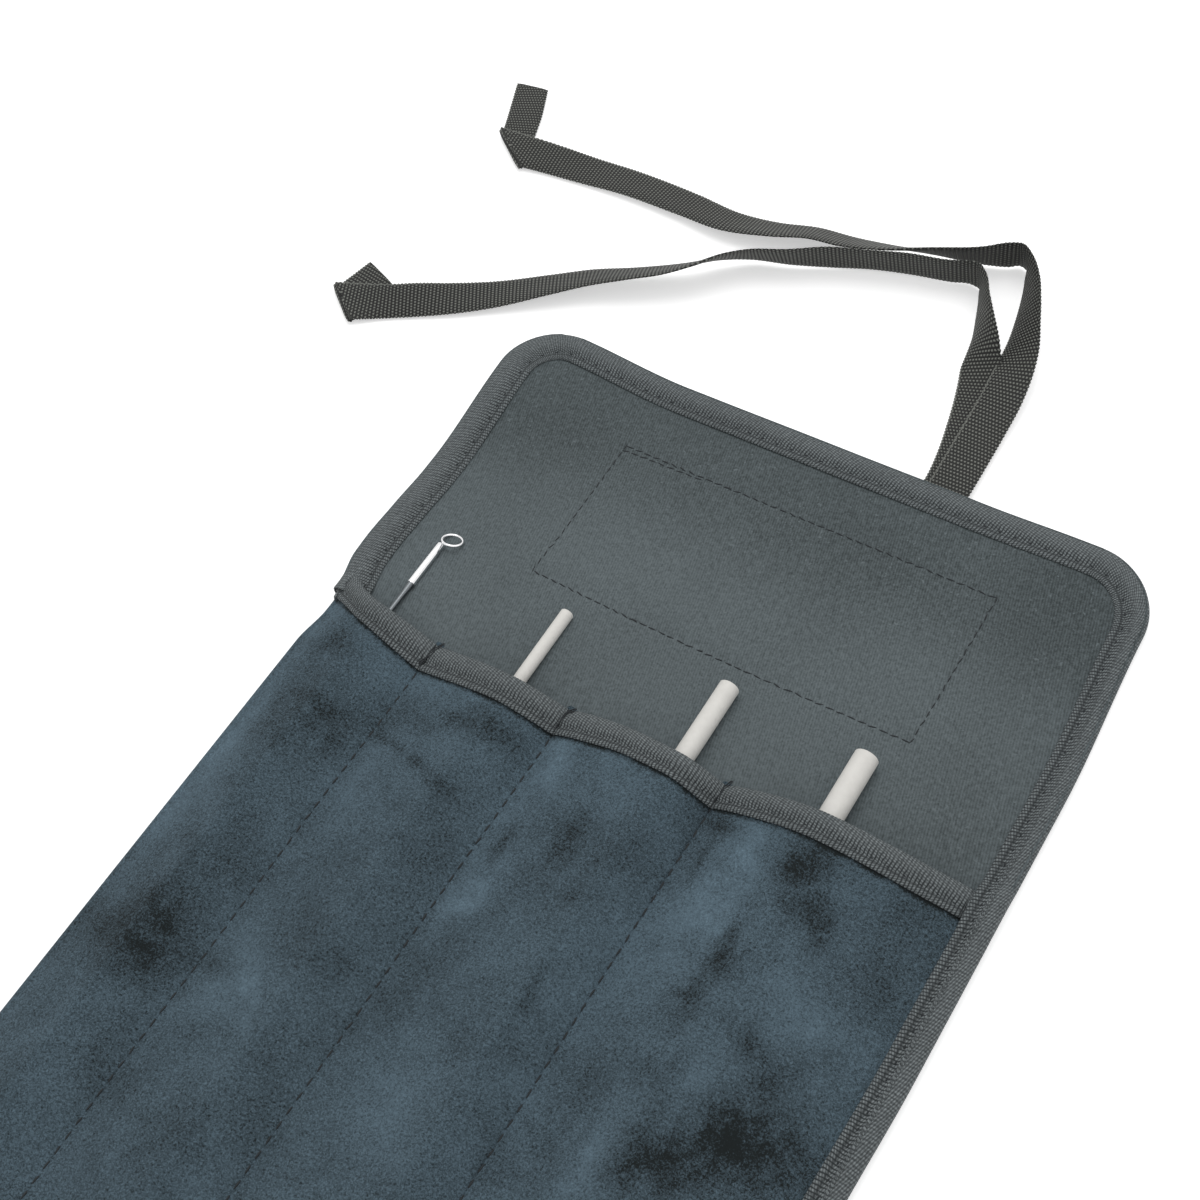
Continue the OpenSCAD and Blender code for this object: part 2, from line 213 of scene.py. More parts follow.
def thick_sheet(name: str, outer: Grid, inner: Grid, material: Finish, run: Optional[Grid] = None) -> Piece:
    """Makes a closed sheet between two grids of points.

    Args:
        name: the piece's name.
        outer: the shown side, rows by columns by three, in millimetres.
        inner: the hidden side, the same shape.
        material: the piece's finish.
        run: each point's place along and across the weave in millimetres, rows by columns by two.

    Returns:
        The new piece, with a UV map named weave if run is given.
    """
    rows, cols = outer.shape[:2]
    top = np.arange(rows * cols).reshape(rows, cols)
    low = top + rows * cols
    faces = [strips(top), strips(low)[:, ::-1]]
    for edge in (np.s_[0, :], np.s_[-1, :], np.s_[:, 0], np.s_[:, -1]):
        faces.append(strips(np.stack([top[edge], low[edge]])))
    points = np.concatenate([outer.reshape(-1, 3), inner.reshape(-1, 3)])
    made = new_object(name, points, np.concatenate(faces), material)
    if run is not None:
        write_run(made, np.concatenate([run.reshape(-1, 2)] * 2))
    return made


def write_run(made: Piece, run: Grid) -> None:
    """Writes each point's place in the weave to a UV map.

    Args:
        made: the piece.
        run: along and across in millimetres, one row for each of its points.
    """
    mesh = made.data
    loops = np.zeros(len(mesh.loops), np.int32)
    mesh.loops.foreach_get("vertex_index", loops)
    layer = mesh.uv_layers.new(name="weave")
    layer.data.foreach_set("uv", run[loops].astype(np.float32).ravel())


def write_value(made: Piece, name: str, values: np.ndarray) -> None:
    """Writes one number for each point of a piece as a named attribute."""
    layer = made.data.attributes.new(name, "FLOAT", "POINT")
    layer.data.foreach_set("value", values.astype(np.float32).ravel())


def tube(points: Grid, radius: Values, sides: int = 8, closed: bool = False) -> tuple[Grid, list]:
    """The points and faces of a round thread or wire.

    Args:
        points: its centreline, in millimetres.
        radius: its radius, one for all points or one each.
        sides: how many faces go round it.
        closed: True where its end meets its start.

    Returns:
        Points and faces.
    """
    line = np.asarray(points, float)
    ahead = np.roll(line, -1, 0) - np.roll(line, 1, 0)
    if not closed:
        ahead[0], ahead[-1] = line[1] - line[0], line[-1] - line[-2]
    ahead = unit(ahead)
    side = np.cross(ahead[0], (0.0, 0.0, 1.0) if abs(ahead[0][2]) < 0.9 else (1.0, 0.0, 0.0))
    turn = np.linspace(0, 2 * math.pi, sides, endpoint=False)
    rings = []
    for centre, direction, r in zip(line, ahead, np.broadcast_to(radius, len(line))):
        side = side - direction * (side @ direction)
        side /= np.linalg.norm(side)
        up = np.cross(direction, side)
        rings.append(centre + r * (np.cos(turn)[:, None] * side + np.sin(turn)[:, None] * up))
    numbers = np.arange(len(line) * sides).reshape(len(line), sides)
    wrapped = np.concatenate([numbers, numbers[:, :1]], 1)
    if closed:
        faces = [tuple(f) for f in strips(np.concatenate([wrapped, wrapped[:1]]))]
    else:
        faces = [tuple(f) for f in strips(wrapped)] + [tuple(numbers[0][::-1]), tuple(numbers[-1])]
    return np.concatenate(rings), faces


def joined(parts: Sequence[tuple[Grid, list]]) -> tuple[Grid, list]:
    """Puts several sets of points and faces into one."""
    vertices, faces, start = [], [], 0
    for points, own in parts:
        vertices.append(points)
        faces += [tuple(int(k) + start for k in f) for f in own]
        start += len(points)
    return np.concatenate(vertices), faces


# ---- finishes ----


class Weave(Enum):
    """How a cloth is made."""

    TWILL = "twill"
    RIBBED = "ribbed"
    WEBBING = "webbing"
    PILE = "pile"
    FELT = "felt"
    THREAD = "thread"


@dataclass(frozen=True)
class Cloth:
    """A cloth's colours and weave. Each weave's method takes the tree and the place, used or not.

    light and dark are the yarn on top and the gaps between; pitch is the yarn spacing across and along, in
    millimetres; relief is how high the yarns stand, in millimetres; blotch is how much the tone drifts.
    """

    name: str
    weave: Weave
    light: str
    dark: str
    pitch: tuple[float, float] = (0.5, 0.5)
    relief: float = 0.1
    blotch: float = 0.06
    roughness: float = 0.9
    sheen: float = 0.0
    sheen_tint: str = "#FFFFFF"

    def build(self) -> Finish:
        """Builds the material.

        Returns:
            The new material.
        """
        material = bpy.data.materials.new(self.name)
        tree = cleared(material)
        at_mm = place_mm(tree)
        height = getattr(self, f"_{self.weave.value}")(tree, at_mm)
        ends = {6: linear(self.dark), 7: linear(self.light)}
        tone = add(tree, "ShaderNodeMix", data_type="RGBA", named={0: height, **ends})
        drift = noise(tree, at_mm, 0.03, 3.0)
        gain = ranged(tree, drift, 0.3, 0.7, 1 - self.blotch, 1 + self.blotch)
        colour = scaled(tree, tone.outputs[2], gain)
        bump = add(tree, "ShaderNodeBump", named={"Distance": self.relief * MM, "Height": height})
        shader = add(
            tree,
            "ShaderNodeBsdfPrincipled",
            named={
                "Base Color": colour,
                "Roughness": self.roughness,
                "Normal": bump,
                "Specular IOR Level": 0.3,
                "Sheen Weight": self.sheen,
                "Sheen Roughness": 0.4,
                "Sheen Tint": linear(self.sheen_tint),
            },
        )
        add(tree, "ShaderNodeOutputMaterial", shader)
        return material

    def _twill(self, tree: Tree, at_mm: Node) -> Node:
        """Slanting warp lines, grain and specks of lint, less the painted shade on the lining. Takes the tree
        and the place; returns the height.
        """
        along, across = weave_place(tree)
        slant = maths(tree, "MULTIPLY_ADD", across, 0.24, along)
        warp = maths(tree, "MULTIPLY", slant, math.pi / self.pitch[0])
        warp = ridge(tree, warp)
        grain = noise(tree, at_mm, 1.1, 3.0, 0.7)
        grain = ranged(tree, grain, 0.25, 0.75, 0.05, 0.95)
        both = maths(tree, "MULTIPLY_ADD", warp, 0.35, grain)
        lint = noise(tree, at_mm, 0.85, 1.0)
        lint = ranged(tree, lint, 0.7, 0.78, 0.0, 0.9)
        both = maths(tree, "ADD", both, lint)
        # Painted shade that the lining carries: darker towards the flap's end and the right side.
        nap_and_painted_light = add(tree, "ShaderNodeAttribute", attribute_type="GEOMETRY", attribute_name="nap_and_painted_light").outputs["Fac"]
        return maths(tree, "SUBTRACT", both, nap_and_painted_light, clamp=True)

    def _ribbed(self, tree: Tree, at_mm: Node) -> Node:
        """Ribs across the tape, each a column of ticks, and painted shade in the stitched groove. Takes the
        tree and the place; returns the height.
        """
        along, across = weave_place(tree)
        stray = noise(tree, at_mm, 0.5, 1.0)
        stray = maths(tree, "MULTIPLY_ADD", stray, 0.7, along)
        column = maths(tree, "DIVIDE", stray, self.pitch[0])
        rung = maths(tree, "DIVIDE", across, self.pitch[1])
        selvedge = maths(tree, "LESS_THAN", across, 2.9)
        slope = ranged(tree, selvedge, 0.0, 1.0, 0.42, -0.6)
        phase = maths(tree, "MULTIPLY_ADD", column, slope, rung)
        turn = maths(tree, "MULTIPLY", phase, 2 * math.pi)
        tick = maths(tree, "SINE", turn)
        tick = ranged(tree, tick, -0.9, 0.7, 0.36, 1.0)
        gap = maths(tree, "MULTIPLY", column, math.pi)
        gap = ridge(tree, gap)
        gap = ranged(tree, gap, 0.2, 0.85, 0.0, 1.0)
        shallow = ranged(tree, across, 4.5, 7.5, 0.05, 0.5)
        gap = maths(tree, "MAXIMUM", gap, shallow)
        fuzz = noise(tree, at_mm, 1.6, 2.0)
        fuzz = ranged(tree, fuzz, 0.3, 0.7, 0.45, 1.3)
        both = maths(tree, "MULTIPLY", tick, gap)
        # Painted shade: the yarn is darker along the stitched groove, 2.5 mm across from the tape's inner
        # edge.
        groove = maths(tree, "SUBTRACT", across, 2.5)
        groove = maths(tree, "ABSOLUTE", groove)
        groove = ranged(tree, groove, 0.1, 0.6, 0.25, 1.0)
        both = maths(tree, "MULTIPLY", both, groove)
        return maths(tree, "MULTIPLY", both, fuzz, clamp=True)

    def _webbing(self, tree: Tree, at_mm: Node) -> Node:
        """Staggered rows of yarn tops painted lighter as glints, with painted shade in the gaps. Takes the
        tree and the place; returns the height.
        """
        along, across = weave_place(tree)
        row = maths(tree, "DIVIDE", along, self.pitch[0])
        step = maths(tree, "FLOOR", row)
        column = maths(tree, "DIVIDE", across, self.pitch[1])
        column = maths(tree, "MULTIPLY_ADD", step, 0.5, column)
        tops = []
        for part, low, high in ((row, 0.42, 1.0), (column, 0.22, 0.95)):
            wave = maths(tree, "MULTIPLY", part, math.pi)
            wave = ridge(tree, wave)
            tops.append(ranged(tree, wave, low, high, 0.0, 1.0))
        both = maths(tree, "MULTIPLY", tops[0], tops[1])
        edge = maths(tree, "LESS_THAN", across, 0.45)
        edge = maths(tree, "MULTIPLY", edge, 0.55)
        return maths(tree, "MAXIMUM", both, edge)

    def _pile(self, tree: Tree, at_mm: Node) -> Node:
        """Pile lying darker and lighter in patches, with painted light and shade over them, and a fine fleck.
        Takes the tree and the place; returns the height.
        """
        wide = noise(tree, at_mm, 0.045, 5.0, 0.55, distortion=0.4)
        wide = ranged(tree, wide, 0.3, 0.7, 0.2, 0.4)
        rough = noise(tree, at_mm, 0.18, 5.0, 0.6)
        rough = ranged(tree, rough, 0.35, 0.65, -0.34, -0.1)
        # The pile's patches, with a painted sheen by the fold, painted light right of the seams, painted
        # shade in a wrinkle and a painted shadow along the mouth tape.
        nap_and_painted_light = add(tree, "ShaderNodeAttribute", attribute_type="GEOMETRY", attribute_name="nap_and_painted_light").outputs["Fac"]
        lying = maths(tree, "MULTIPLY_ADD", nap_and_painted_light, rough, wide)
        fleck = noise(tree, at_mm, 1.7, 2.0, 0.9, distortion=0.6)
        fleck = ranged(tree, fleck, 0.3, 0.7, -0.27, 0.27)
        return maths(tree, "ADD", lying, fleck, clamp=True)

    def _felt(self, tree: Tree, at_mm: Node) -> Node:
        """Matted fibres. Takes the tree and the place; returns the height."""
        return noise(tree, at_mm, 1.5, 4.0, 0.7)

    def _thread(self, tree: Tree, at_mm: Node) -> Node:
        """The thread's short fibres. Takes the tree and the place; returns the height."""
        return noise(tree, at_mm, 3.0, 1.0)


@dataclass(frozen=True)
class Solid:
    """A hard finish: its colour, how metallic and rough it is, and the size and strength of its grain."""

    name: str
    colour: str
    metallic: float = 0.0
    roughness: float = 0.5
    grain_mm: float = 0.6
    mottle: float = 0.04
    relief: float = 0.01

    def build(self) -> Finish:
        """Builds the material.

        Returns:
            The new material.
        """
        material = bpy.data.materials.new(self.name)
        tree = cleared(material)
        at_mm = place_mm(tree)
        grain = noise(tree, at_mm, 1 / self.grain_mm, 4.0, 0.6)
        gain = ranged(tree, grain, 0.3, 0.7, 1 - self.mottle, 1 + self.mottle)
        paint = add(tree, "ShaderNodeRGB")
        paint.outputs[0].default_value = linear(self.colour)
        colour = scaled(tree, paint, gain)
        bump = add(tree, "ShaderNodeBump", named={"Distance": self.relief * MM, "Height": grain})
        shader = add(
            tree,
            "ShaderNodeBsdfPrincipled",
            named={
                "Base Color": colour,
                "Metallic": self.metallic,
                "Roughness": self.roughness,
                "Normal": bump,
            },
        )
        add(tree, "ShaderNodeOutputMaterial", shader)
        return material


# Fine polyester twill, dyed slate grey. Its yarns are 0.43 mm apart, drawn at 0.8 mm so that they show.
TWILL = Cloth("slate_twill", Weave.TWILL, "#626B6E", "#32393A", (0.8, 0.8), 0.06, 0.05, 0.85)
# Ribbed polyester binding: ribs 1.03 mm apart, each a column of slanting yarn ticks 0.75 mm apart.
BINDING = Cloth("ribbed_binding", Weave.RIBBED, "#81888A", "#1E2325", (1.03, 0.75), 0.2, 0.06, 0.75)
# Plain-woven webbing: yarn tops 1.25 mm apart along it and 1.05 mm across, a slight shine painted on each
# top as a lighter colour, and painted shade in the near-black gaps between them.
WEBBING = Cloth("woven_webbing", Weave.WEBBING, "#848680", "#060706", (1.25, 1.05), 0.4, 0.05, 0.6)
# Short-pile velvet: its pile is laid darker and lighter in patches by brushing, with painted light and shade
# over them, and its tips catch the light at a glancing angle.
VELVET = Cloth("navy_velvet", Weave.PILE, "#738B9A", "#141A1B", (1, 1), 0.15, 0.03, 1.0, 0.2, "#9AA7B0")
# Needled polyester wadding between the cloths.
FELT = Cloth("grey_wadding", Weave.FELT, "#9A9D9E", "#7C7F80", (1, 1), 0.2, 0.05, 1.0)
# Black sewing thread with a dull wax finish.
THREAD = Cloth("black_thread", Weave.THREAD, "#33383B", "#15181A", (1, 1), 0.05, 0.02, 0.7)
# Matt moulded rods in warm pale grey, faintly mottled by the mould.
ROD = Solid("pale_grey_plastic", "#DEDCD7", 0.0, 0.6, 2.5, 0.04, 0.01)
# Bright chrome plate on the ferrule and loop: it mirrors the white room and the dark cloth.
CHROME = Solid("chrome_plate", "#EDEDEE", 1.0, 0.08, 3.0, 0.0, 0.0)
# Drawn steel shank, a dull grey with fine lengthwise marks.
STEEL = Solid("drawn_steel", "#6F7376", 1.0, 0.3, 0.5, 0.08, 0.005)


# ---- node trees that repeat a shape ----


def geometry_tree(name: str, kinds: dict[str, str], result: str) -> tuple[Tree, Sequence]:
    """Starts a geometry tree.

    Args:
        name: the tree's name.
        kinds: the kind of each of its inputs.
        result: what its output is called.

    Returns:
        The tree, and the sockets that its inputs come from.
    """
    tree = bpy.data.node_groups.new(name, "GeometryNodeTree")
    for socket, kind in kinds.items():
        tree.interface.new_socket(socket, in_out="INPUT", socket_type=f"NodeSocket{kind}")
    tree.interface.new_socket(result, in_out="OUTPUT", socket_type="NodeSocketGeometry")
    return tree, add(tree, "NodeGroupInput").outputs


def stitch_tree() -> Tree:
    """Builds the tree that sews stitches along a line.

    Returns:
        A geometry tree with a line's pitch, stitch length, thread width, waver, seed and finish as inputs.
    """
    floats = {name: "Float" for name in ("Pitch", "Stitch Length", "Thread Width", "Waver")}
    kinds = {"Line": "Geometry", **floats, "Seed": "Int", "Finish": "Material"}
    tree, given = geometry_tree("stitch_run", kinds, "Stitches")
    curve = add(tree, "GeometryNodeMeshToCurve", given["Line"])
    even = {"Curve": curve, "Length": given["Pitch"]}
    spaced = add(tree, "GeometryNodeResampleCurve", mode="LENGTH", named=even)
    tangent = add(tree, "GeometryNodeInputTangent")
    facing = add(tree, "FunctionNodeAlignRotationToVector", named={"Vector": tangent}, axis="X")
    low = maths(tree, "MULTIPLY", given["Waver"], -1.0)
    waver = add(tree, "FunctionNodeRandomValue", data_type="FLOAT")
    for socket, value in ((2, low.outputs[0]), (3, given["Waver"]), (8, given["Seed"])):
        tree.links.new(value, waver.inputs[socket])
    turn = add(tree, "ShaderNodeCombineXYZ", 0.0, 0.0, waver.outputs[1])
    turned = add(tree, "FunctionNodeRotateRotation", facing, turn, rotation_space="LOCAL")
    bead = add(tree, "GeometryNodeMeshUVSphere", 8, 6, 0.5)
    thick = given["Thread Width"]
    size = add(tree, "ShaderNodeCombineXYZ", given["Stitch Length"], thick, thick)
    placed = add(
        tree,
        "GeometryNodeInstanceOnPoints",
        named={"Points": spaced, "Instance": bead.outputs["Mesh"], "Rotation": turned, "Scale": size},
    )
    real = add(tree, "GeometryNodeRealizeInstances", placed)
    smooth_shade = add(tree, "GeometryNodeSetShadeSmooth", real)
    done = add(tree, "GeometryNodeSetMaterial", smooth_shade, None, given["Finish"])
    add(tree, "NodeGroupOutput", done)
    return tree


def rib_tree() -> Tree:
    """Builds the tree that raises the ribs of a tape.

    Returns:
        A geometry tree with the rib's pitch, height and finish as inputs. It reads how far along the tape
        each point is, and how much a rib may stand there.
    """
    kinds = {"Tape": "Geometry", "Pitch": "Float", "Height": "Float", "Finish": "Material"}
    tree, given = geometry_tree("tape_ribs", kinds, "Ribbed")
    along = add(tree, "GeometryNodeInputNamedAttribute", "along", data_type="FLOAT")
    share = add(tree, "GeometryNodeInputNamedAttribute", "proud", data_type="FLOAT")
    turn = maths(tree, "DIVIDE", along, given["Pitch"])
    turn = maths(tree, "MULTIPLY", turn, math.pi)
    wave = ridge(tree, turn)
    wave = maths(tree, "POWER", wave, 0.6)
    rise = maths(tree, "MULTIPLY", wave, given["Height"])
    rise = maths(tree, "MULTIPLY", rise, share)
    normal = add(tree, "GeometryNodeInputNormal")
    offset = scaled(tree, normal, rise)
    moved = add(tree, "GeometryNodeSetPosition", given["Tape"], named={"Offset": offset})
    real = add(tree, "GeometryNodeRealizeInstances", moved)
    done = add(tree, "GeometryNodeSetMaterial", real, None, given["Finish"])
    add(tree, "NodeGroupOutput", done)
    return tree


def grown(made: Piece, tree: Tree, values: dict[str, object]) -> Piece:
    """Runs a geometry tree on a piece and keeps the result as its plain mesh.

    Args:
        made: the piece that the tree works on.
        tree: the geometry tree.
        values: its inputs by name.

    Returns:
        The same piece with the new mesh and no modifier.
    """
    modifier = made.modifiers.new("grow", "NODES")
    modifier.node_group = tree
    for item in tree.interface.items_tree:
        if item.in_out == "INPUT" and item.name in values:
            modifier[item.identifier] = values[item.name]
    evaluated = made.evaluated_get(bpy.context.evaluated_depsgraph_get())
    mesh = bpy.data.meshes.new_from_object(evaluated)
    made.modifiers.clear()
    old, made.data = made.data, mesh
    mesh.name = made.name
    bpy.data.meshes.remove(old)
    return made


@dataclass(frozen=True)
class Stitch:
    """How a line is sewn.

    pitch is from one stitch to the next, length how much of each shows, width the thread's, and waver how far
    a stitch may turn off its line, in radians.
    """

    pitch: float
    length: float
    width: float
    waver: float = 0.12


EDGE_STITCH = Stitch(4.6, 1.2, 0.6, 0.5)
MOUTH_STITCH = Stitch(4.6, 1.1, 0.5, 0.5)
SEAM_STITCH = Stitch(4.2, 2.7, 0.6)
PANEL_STITCH = Stitch(3.1, 2.7, 0.46, 0.3)


@dataclass
class Workshop:
    """The finishes and node trees that every part shares."""

    twill: Finish
    binding: Finish
    webbing: Finish
    velvet: Finish
    felt: Finish
    thread: Finish
    rod: Finish
    chrome: Finish
    steel: Finish
    stitches: Tree
    ribs: Tree

    def sewn(self, name: str, lines: Sequence[Grid], stitch: Stitch, seed: int) -> Piece:
        """Sews stitches along lines.

        Args:
            name: the piece's name.
            lines: each line's points, in millimetres.
            stitch: how they are sewn.
            seed: which wavers the stitches take.

        Returns:
            The stitches as one piece.
        """
        points, edges, start = [], [], 0
        for line in lines:
            points.append(np.asarray(line, float))
            edges += [(start + k, start + k + 1) for k in range(len(line) - 1)]
            start += len(line)
        mesh = bpy.data.meshes.new(name)
        mesh.from_pydata((np.concatenate(points) * MM).tolist(), edges, [])
        values = {
            "Pitch": stitch.pitch * MM,
            "Stitch Length": stitch.length * MM,
            "Thread Width": stitch.width * MM,
            "Waver": stitch.waver,
            "Seed": seed,
            "Finish": self.thread,
        }
        return grown(linked(name, mesh), self.stitches, values)

    def ribbed(
        self, name: str, outer: Grid, inner: Grid, run: Grid, proud: Grid, height: float = 0.13
    ) -> Piece:
        """Makes a ribbed tape between two grids of points.

        Args:
            name: the piece's name.
            outer: the shown side.
            inner: the side against the cloth.
            run: each point's place along and across the tape, in millimetres.
            proud: how much a rib may stand at each point, from 0 to 1.
            height: how high the ribs stand, in millimetres.

        Returns:
            The tape with its ribs raised.
        """
        made = thick_sheet(name, outer, inner, self.binding, run)
        write_value(made, "along", np.concatenate([run[..., 0].ravel()] * 2))
        write_value(made, "proud", np.concatenate([proud.ravel(), np.zeros(proud.size)]))
        values = {"Pitch": BINDING.pitch[0], "Height": height * MM, "Finish": self.binding}
        return grown(made, self.ribs, values)


# ---- the case's own form ----


@dataclass(frozen=True)
class Form:
    """Where the case's cloth lies: its outline, seams, layers, pocket arches and the way it relaxes."""

    left: float = -109.3
    right: float = 109.3
    top: float = 158.1
    bottom: float = -160.0
    mouth: float = 44.0
    seams: tuple[float, ...] = (-66.0, -20.0, 30.0)
    crowns: tuple[float, ...] = (-85.4, -37.6, 16.4, 59.6)
    rises: tuple[float, ...] = (5.8, 6.2, 7.4, 8.2)
    left_r: float = 20.0
    right_r: float = 22.0
    fold_x: float = -103.4
    fold_z: float = 3.1
    fold_r: float = 2.6
    velvet_t: float = 0.9
    # How far above the hem's edge the pocket fronts start, inside the hem's tape.
    velvet_start: float = 2.6
    arch_end: float = 100.0
    fold_start: float = 78.0
    fold_end: float = 94.0
    lift_h: float = 4.7
    # Where the hem's tape ends, past the velvet's fold, before the side's sway.
    hem_end: float = -108.7
    tape_left: float = 12.4
    tape_top: float = 11.1
    tape_right: float = 8.3
    panel: tuple[float, float, float, float] = (-56.0, 66.9, 76.5, 129.0)
    # Heights between the layers: tape, back cloth, wadding, lining. The columns' first, then the flap's.
    column_z: tuple[float, ...] = (0.5, 1.4, 4.1, 4.8)
    flap_z: tuple[float, ...] = (0.5, 1.15, 3.05, 3.75)
    # The mouth tape's upper edge, as pairs of X and Y.
    mouth_edge: tuple[tuple[float, float], ...] = (
        (-107, 53.5), (-103, 50.6), (-99, 47.6), (-95, 45.8), (-90, 44.3), (-85, 43.3), (-78, 42.4),
        (-70, 41.9), (-60, 41.2), (-48, 41), (-30, 40.9), (-22, 41.4), (-15, 42.3), (-8, 42.5), (2, 42.4),
        (14, 41.7), (27, 41.5), (34, 42.5), (45, 43.2), (57, 44), (75, 44.4), (88, 45), (101, 46.1),
    )
    # Where the velvet's pile lies darker, or lighter below 0: X, Y, half width, half height, turn in degrees,
    # strength. The long light band at X -101 is a painted sheen along the fold, the light patches just right
    # of the seams are painted light on the pockets' left flanks, and the thin slanting dark stripe at X -50,
    # Y 6.5 is painted shade in a wrinkle.
    nap_and_painted_light: tuple[tuple[float, ...], ...] = (
        (-83, 4, 12, 9, 0, 0.8), (-92, 26, 7, 5, 20, 0.5), (-80, -69, 10, 11, 0, 0.9),
        (-101, -75, 6, 8, 0, 0.6), (-84, -46, 12, 5, 0, 0.4), (-90, -22, 6, 6, 0, 0.3),
        (-48, 20, 7, 3, 30, 0.7), (-34, 24, 8, 4, 0, 0.8), (-50, 6.5, 14, 1.9, -12, 0.8),
        (-36, 2, 5, 2.5, 0, 0.5), (-57, -7, 2, 4, 0, 0.4), (-37, -33, 7, 6, 0, 0.3),
        (-38, -50, 8, 6, 0, 0.35), (-60, -68, 6, 3, 10, 0.4), (-13, -3, 1.9, 6.5, 0, 0.9),
        (-11, -30, 2, 4, 0, 0.3), (3, 7, 3.2, 9, 5, 0.9), (14, -8, 5, 3, 0, 0.5), (-13, 13, 3, 3, 0, 0.4),
        (18, -33, 1.7, 9, 5, 0.5), (15, 14, 7, 7, 0, 0.25), (12, -55, 10, 15, 0, 0.3),
        (37, 30, 5, 2.6, 0, 0.8), (36, 20, 1.3, 7, 0, 0.7), (60, 27, 6, 7, -30, 0.9),
        (72, 17, 4, 6.5, 25, 1.0), (65, 17, 4, 3, 0, 0.6), (54.5, 2, 2.2, 10, 0, 0.9),
        (56, -5, 3, 4, 0, 0.5), (54, -17, 3, 6, 10, 0.8), (50, -16, 4, 1.6, 30, 0.5),
        (74, -19, 9, 3, -40, 0.8), (92, 13, 4, 7, 30, 0.5), (57, -35, 4.5, 6, -20, 0.6),
        (78, -40, 6, 8, 0, 1.0), (68, -55, 9, 8, 0, 1.1), (88, -38, 14, 10, 0, 0.8),
        (45, -50, 8, 14, 0, 0.3), (38, -7, 4, 3, 0, 0.4), (93, -3, 5, 4, 0, 0.1),
        (-101, -20, 4, 70, 0, -0.5), (-50, 31, 11, 6, 0, -0.8), (-58, -20, 5, 22, 0, -0.35),
        (-48, -72, 11, 9, 0, -0.7), (-13, -14, 6, 16, 0, -0.8), (-14, 24, 5, 12, 0, -0.7),
        (46, 20, 8, 15, 0, -1.0), (42, -8, 6, 12, 0, -0.4), (53, -60, 3.2, 15, -5, -0.7),
        (66, -32, 5, 4, -45, -0.4), (0, -70, 8, 12, 0, -0.35), (86, -6, 9, 7, 0, -0.5),
    )
    # How wide the mouth tape shows, as pairs of X and millimetres.
    mouth_width: tuple[tuple[float, float], ...] = (
        (-107, 11.5), (-103, 9.6), (-98, 8), (-95, 7.8), (-85, 8.3), (-78, 9), (-70, 9.6), (-60, 9.4),
        (-40, 8.8), (-20, 9), (-10, 8.7), (0, 7.9), (15, 7.6), (27, 8), (40, 8.2), (75, 8.4), (101, 8.7),
    )

    def span(self, i: int) -> tuple[float, float]:
        """Left and right edges of column i at its seams."""
        edges = (self.left, *self.seams, self.right)
        return edges[i - 1], edges[i]

    def lift(self, x: Values, y: Values) -> Values:
        """How far the flap's two corners curl up off the table, the left one more."""
        x, y = np.asarray(x, float), np.asarray(y, float)
        left = self.lift_h * (1 - smooth(8, 50, np.hypot(x + 100, y - 148)))
        return left + 1.0 * (1 - smooth(5, 38, np.hypot(x - 88, y - 150)))

    def sway(self, x: Values, y: Values) -> Values:
        """How far the cloth's side edges stray from straight."""
        x, y = np.asarray(x, float), np.asarray(y, float)
        right = -2.6 * smooth(78, 140, y) - 0.9 * smooth(-5, -45, y)
        left = 2.3 * smooth(58, 45, y) - 0.5 * np.exp(-(((y - 66) / 9) ** 2))
        return right * smooth(70, 101, x) + left * smooth(-85, -97, x)

    def ripple(self, x: Values, y: Values) -> Values:
        """The cloth's slow, shallow unevenness."""
        x, y = np.asarray(x, float), np.asarray(y, float)
        wide = 0.14 * np.sin(x / 21 + 1.3) * np.sin(y / 27 + 0.4)
        return wide + 0.07 * np.sin((x + y) / 11 + 0.8) * np.cos((x - 1.3 * y) / 17)

    def level(self, layer: int, y: Values) -> Values:
        """Height between two layers, easing from the columns' to the flap's across the fold."""
        share = smooth(self.fold_start, self.fold_end, y)
        return self.column_z[layer] * (1 - share) + self.flap_z[layer] * share

    def pillow(self, x: Values, y: Values) -> Values:
        """How the lining swells between the binding and the sewn panel."""
        x, y = np.asarray(x, float), np.asarray(y, float)
        edge = np.minimum(x - self.left - self.tape_left, self.right - self.tape_right - x)
        edge = np.minimum(edge, self.top - self.tape_top - y)
        swell = 0.55 * (1 - np.exp(-np.clip(edge, 0, None) / 7))
        left, right, low, high = self.panel
        off_x, off_y = np.minimum(abs(x - left), abs(x - right)), np.minimum(abs(y - low), abs(y - high))
        inside_x, inside_y = (x > left) & (x < right), (y > low) & (y < high)
        near = np.minimum(np.where(inside_y, off_x, 99), np.where(inside_x, off_y, 99))
        return (swell - 0.35 * np.exp(-((near / 1.6) ** 2))) * smooth(44, 60, y)

    def lining(self, x: Values, y: Values) -> Values:
        """Height of the lining's top."""
        return self.level(3, y) + self.pillow(x, y) + self.ripple(x, y) + self.lift(x, y)

    def limits(self, i: int, y: Values, inset: float) -> tuple[Values, Values]:
        """Left and right edges of column i's cloth at y, inside the outline's rounded corners.

        Args:
            i: the column.
            y: how far up the case.
            inset: how far the cloth stops short of the outline.

        Returns:
            The two edges.
        """
        y = np.asarray(y, float)
        low, high = (np.full(y.shape, edge) for edge in self.span(i))
        if i == 1:
            r = self.left_r
            up = np.clip(y - (self.top - r), 0, r - inset)
            low = self.left + r - np.sqrt((r - inset) ** 2 - up**2)
            low = np.where(y < self.mouth + 0.1, self.fold_x - 0.3, low)
        if i == 4:
            r = self.right_r
            up = np.maximum(y - (self.top - r), self.bottom + r - y)
            high = self.right - r + np.sqrt((r - inset) ** 2 - np.clip(up, 0, r - inset) ** 2)
        return low + self.sway(low, y), high + self.sway(high, y)

